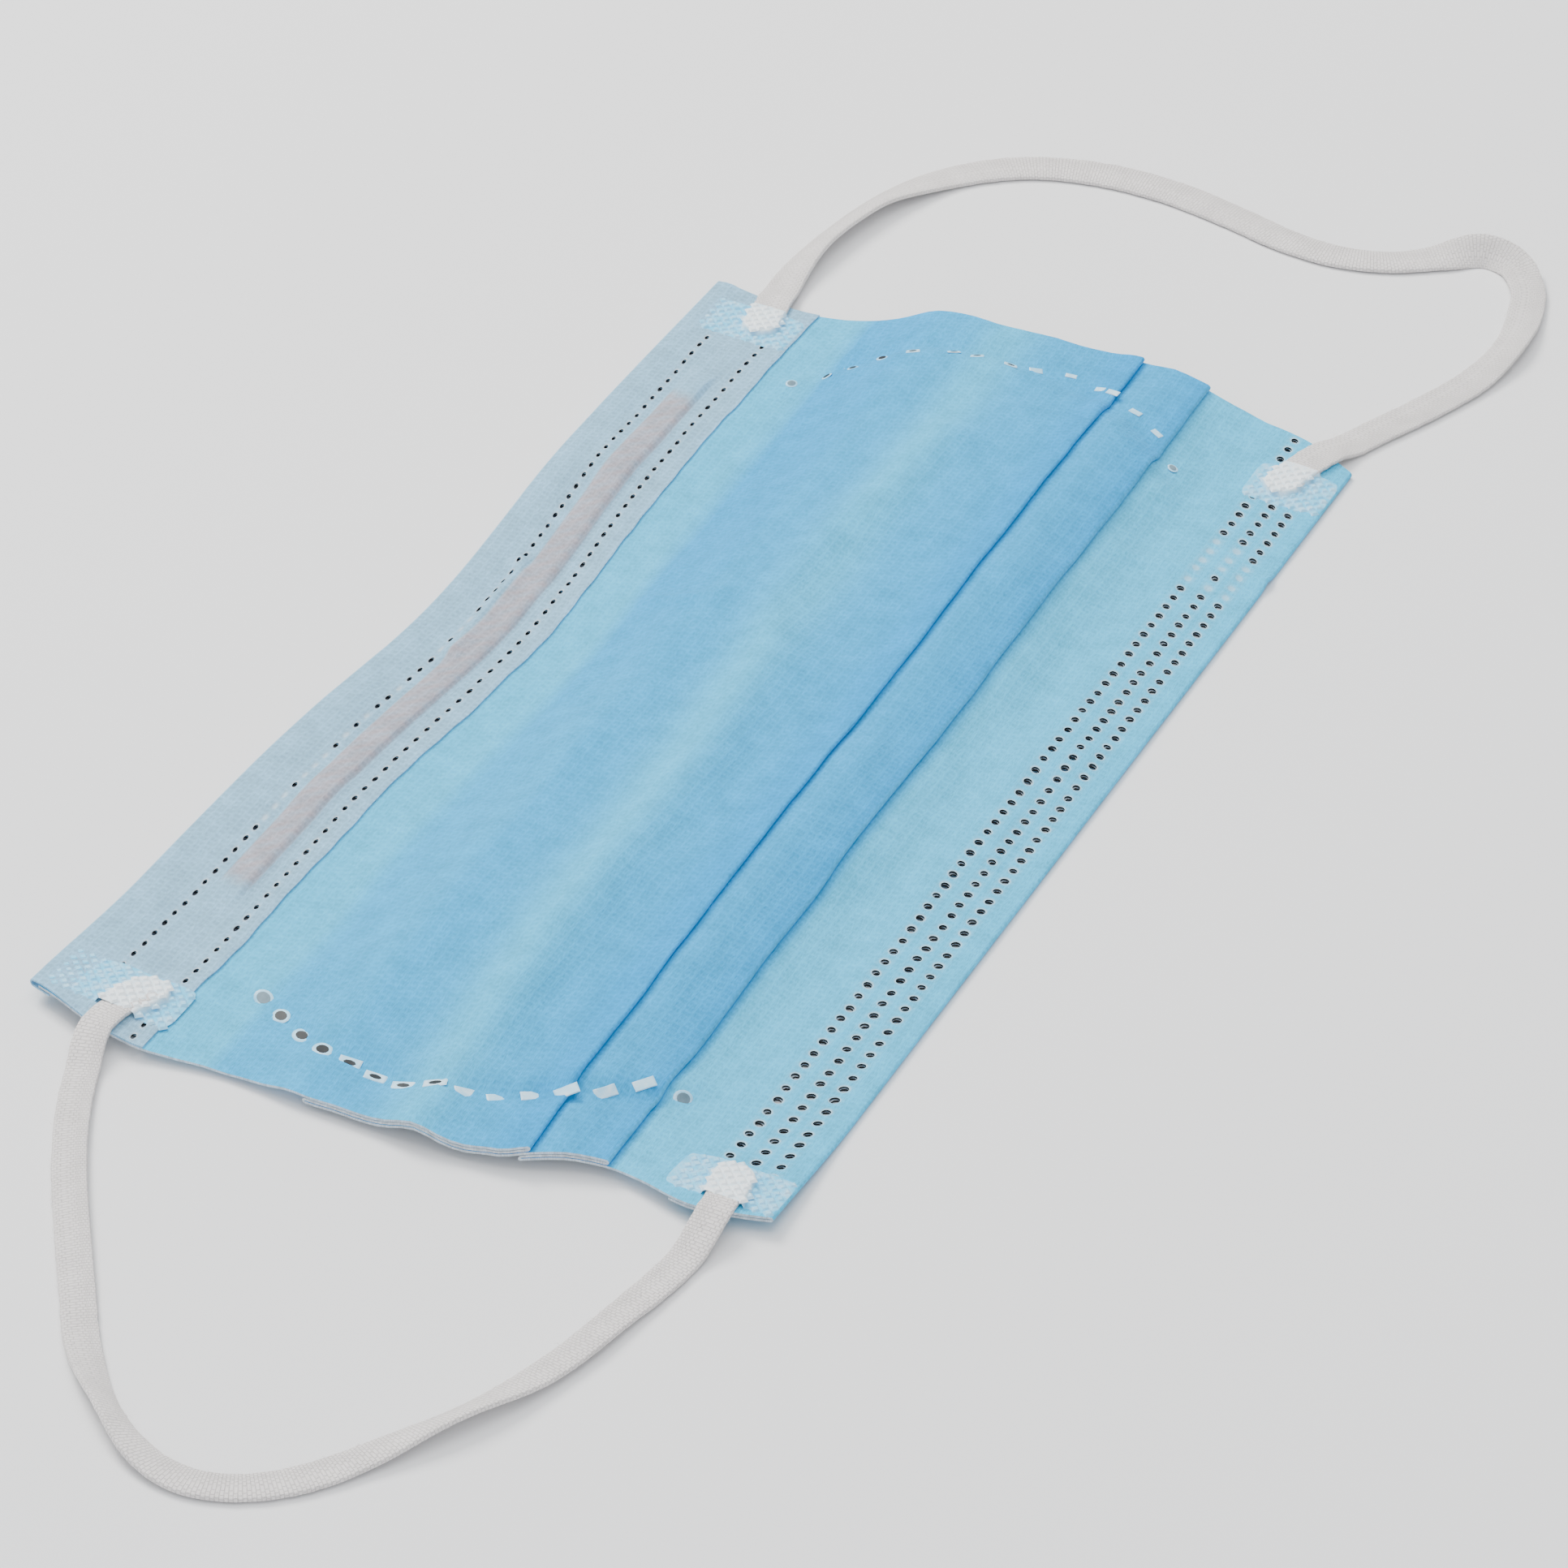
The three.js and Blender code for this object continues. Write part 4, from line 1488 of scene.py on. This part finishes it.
@dataclass
class Studio:
    """The floor, the lights and the camera."""

    target: tuple[float, float, float] = (-9.361, -10.705, 0.0)
    azimuth: float = -66.24
    elevation: float = 35.906
    roll: float = 3.238
    distance: float = 728.59
    lens: float = 145.34
    sensor: float = 36.0
    clip: Point = (0.01, 50.0)
    floor_half: float = 3000.0
    floor_z: float = -0.05
    sky: str = "#EEF1F4"
    sky_strength: float = 0.75
    lamps: tuple[Lamp, ...] = (
        Lamp("key_light", (0.35, 0.75, 0.9), 0.5, 19.0, "#FFFDF8"),
        Lamp("fill_light", (-0.9, -0.35, 0.7), 1.0, 5.0, "#F4F8FF"),
        Lamp("top_light", (0.0, 0.1, 1.3), 1.2, 12.5),
    )

    def build_camera(self) -> None:
        """Places the camera."""
        a, e, s = (math.radians(v) for v in (self.azimuth, self.elevation, self.roll))
        back = Vector((math.sin(a) * math.cos(e), -math.cos(a) * math.cos(e), math.sin(e)))
        right = Vector((math.cos(a), math.sin(a), 0.0))
        up = back.cross(right)
        turned = right * math.cos(s) + up * math.sin(s)
        raised = right * -math.sin(s) + up * math.cos(s)
        data = bpy.data.cameras.new("camera")
        data.lens, data.sensor_width = self.lens, self.sensor
        data.clip_start, data.clip_end = self.clip
        camera = bpy.data.objects.new("camera", data)
        place = (Vector(self.target) + back * self.distance) * MM
        facing = Matrix((turned, raised, back)).transposed().to_4x4()
        camera.matrix_world = Matrix.Translation(place) @ facing
        bpy.context.scene.collection.objects.link(camera)
        bpy.context.scene.camera = camera

    def build_stage(self) -> None:
        """Makes the floor, the lamps and the soft light all round."""
        corners = np.array([(x * self.floor_half, y * self.floor_half, self.floor_z)
                            for x, y in ((-1, -1), (1, -1), (1, 1), (-1, 1))])
        floor = make_object("floor", corners, [(0, 1, 2, 3)], (PaleFloor().make(),))
        for lamp in self.lamps:
            data = bpy.data.lights.new(lamp.name, "AREA")
            data.shape, data.size = "SQUARE", lamp.size
            data.energy, data.color = lamp.watts, linear(lamp.colour)[:3]
            thing = bpy.data.objects.new(lamp.name, data)
            thing.location = lamp.place
            thing.rotation_euler = (-Vector(lamp.place)).to_track_quat("-Z", "Y").to_euler()
            bpy.context.scene.collection.objects.link(thing)
        world = bpy.data.worlds.new("studio")
        bpy.context.scene.world = world
        world.use_nodes = True
        background = world.node_tree.nodes["Background"]
        background.inputs["Color"].default_value = linear(self.sky)
        background.inputs["Strength"].default_value = self.sky_strength


NEAR_ROUTE = (
    (-80.6, 31.9), (-84.8, 33.3), (-89.2, 33.6), (-94.6, 32.0), (-101.2, 29.2), (-108.6, 25.2),
    (-118.0, 19.2), (-125.6, 14.1), (-132.6, 9.3), (-137.4, 5.1), (-140.8, 1.2), (-143.5, -2.8),
    (-145.0, -6.7), (-145.2, -10.6), (-143.9, -14.6), (-141.4, -18.2), (-138.1, -21.2),
    (-133.9, -24.0), (-128.6, -27.1), (-123.6, -29.9), (-118.0, -32.5), (-111.3, -34.7),
    (-102.1, -36.6), (-94.4, -38.0), (-88.6, -38.6), (-83.6, -38.6), (-78.2, -37.8))
FAR_ROUTE = (
    (77.6, 34.4), (81.0, 34.9), (85.0, 35.6), (89.4, 36.2), (95.2, 36.5), (104.4, 35.8),
    (116.0, 33.2), (125.5, 28.1), (131.9, 20.7), (135.1, 11.0), (135.4, 2.2), (133.6, -8.2),
    (131.6, -16.8), (131.4, -23.0), (133.4, -29.6), (137.6, -35.6), (140.6, -40.4), (140.2, -44.8),
    (136.6, -48.0), (130.2, -50.1), (121.2, -51.2), (112.6, -50.2), (102.0, -46.7), (93.6, -43.2),
    (87.6, -40.9), (82.4, -39.2), (76.4, -37.8))

NEAR_ROLLS = (Roll(-112, 22, 10, 18), Roll(-140, 2, -38, 8), Roll(-124.5, -29.5, -32, 9),
              Roll(-107, -36, -9, 8))
FAR_ROLLS = (Roll(98, 36.4, -26, 9), Roll(111, 34.7, -26, 10), Roll(135, 5, 9, 24),
             Roll(140.5, -41, 52, 5), Roll(121, -51, 17, 7))


def main() -> None:
    """Builds the mask piece by piece, then the studio."""
    logging.basicConfig(level=logging.INFO, format="%(name)s %(message)s")
    studio = Studio()
    studio.build_camera()
    shape = LyingCloth()
    blue = Nonwoven("spunbond_polypropylene_blue_hot_bonded", "#50D4FF", "#0AB0F2", "#DDF3FC",
                    bond=0.09).make()
    white = Nonwoven("spunbond_polypropylene_white_hot_bonded", "#D9E4EC", "#DDE8EE", "#F2F5F6").make()
    header_cloth = Nonwoven("spunbond_polypropylene_white_turned_ply", "#A2D2EC", "#C8AEAD", "#EEF7FB",
                            bond=0.12).make()
    film = FusedFilm("polypropylene_film_knurl_welded", "#5CC6EE", "#EEF6FA").make()
    # Near-black film for the walls of the weld holes and the side-weld holes and slots: painted shade for
    # the dark in the holes.
    painted_hole_shade = FusedFilm("polypropylene_weld_holes_painted_shade", "#0B1216", "#18242B", 0.7).make()
    # Grey film in the round marks at the ends of the side welds: painted shade.
    shade = FusedFilm("polypropylene_weld_film_painted_grey_shade", "#5C7683", "#8CA3AE").make()
    elastic = KnittedElastic("nylon_elastane_flat_knit", "#E8E3E1", "#C4BFBD").make()

    near = EarLoop("near_ear_loop", "ear_loop_near", NEAR_ROUTE, NEAR_ROLLS, shape, elastic, 3.8)
    far = EarLoop("far_ear_loop", "ear_loop_far", FAR_ROUTE, FAR_ROLLS, shape, elastic, 4.6)
    near.build()
    far.build()
    panel = PleatedPanel(shape, blue, white, painted_hole_shade).build()
    NoseHeader(shape, header_cloth, painted_hole_shade).build()
    NoseWire(shape, CoatedWire().make()).build()
    for corner, loop, x, y in (
            ("near_nose", near, (-85.2, -77.2), (27.2, 42.6)),
            ("near_chin", near, (-82.4, -75.0), (-44.2, -31.2)),
            ("far_nose", far, (73.4, 81.4), (29.4, 42.0)),
            ("far_chin", far, (72.2, 80.6), (-44.2, -33.6))):
        CornerWeld(f"corner_weld_{corner}", shape, film, loop, x, y).build()
    SideWelds(shape, film, painted_hole_shade, shade, panel).build()
    studio.build_stage()


if __name__ == "__main__":
    main()
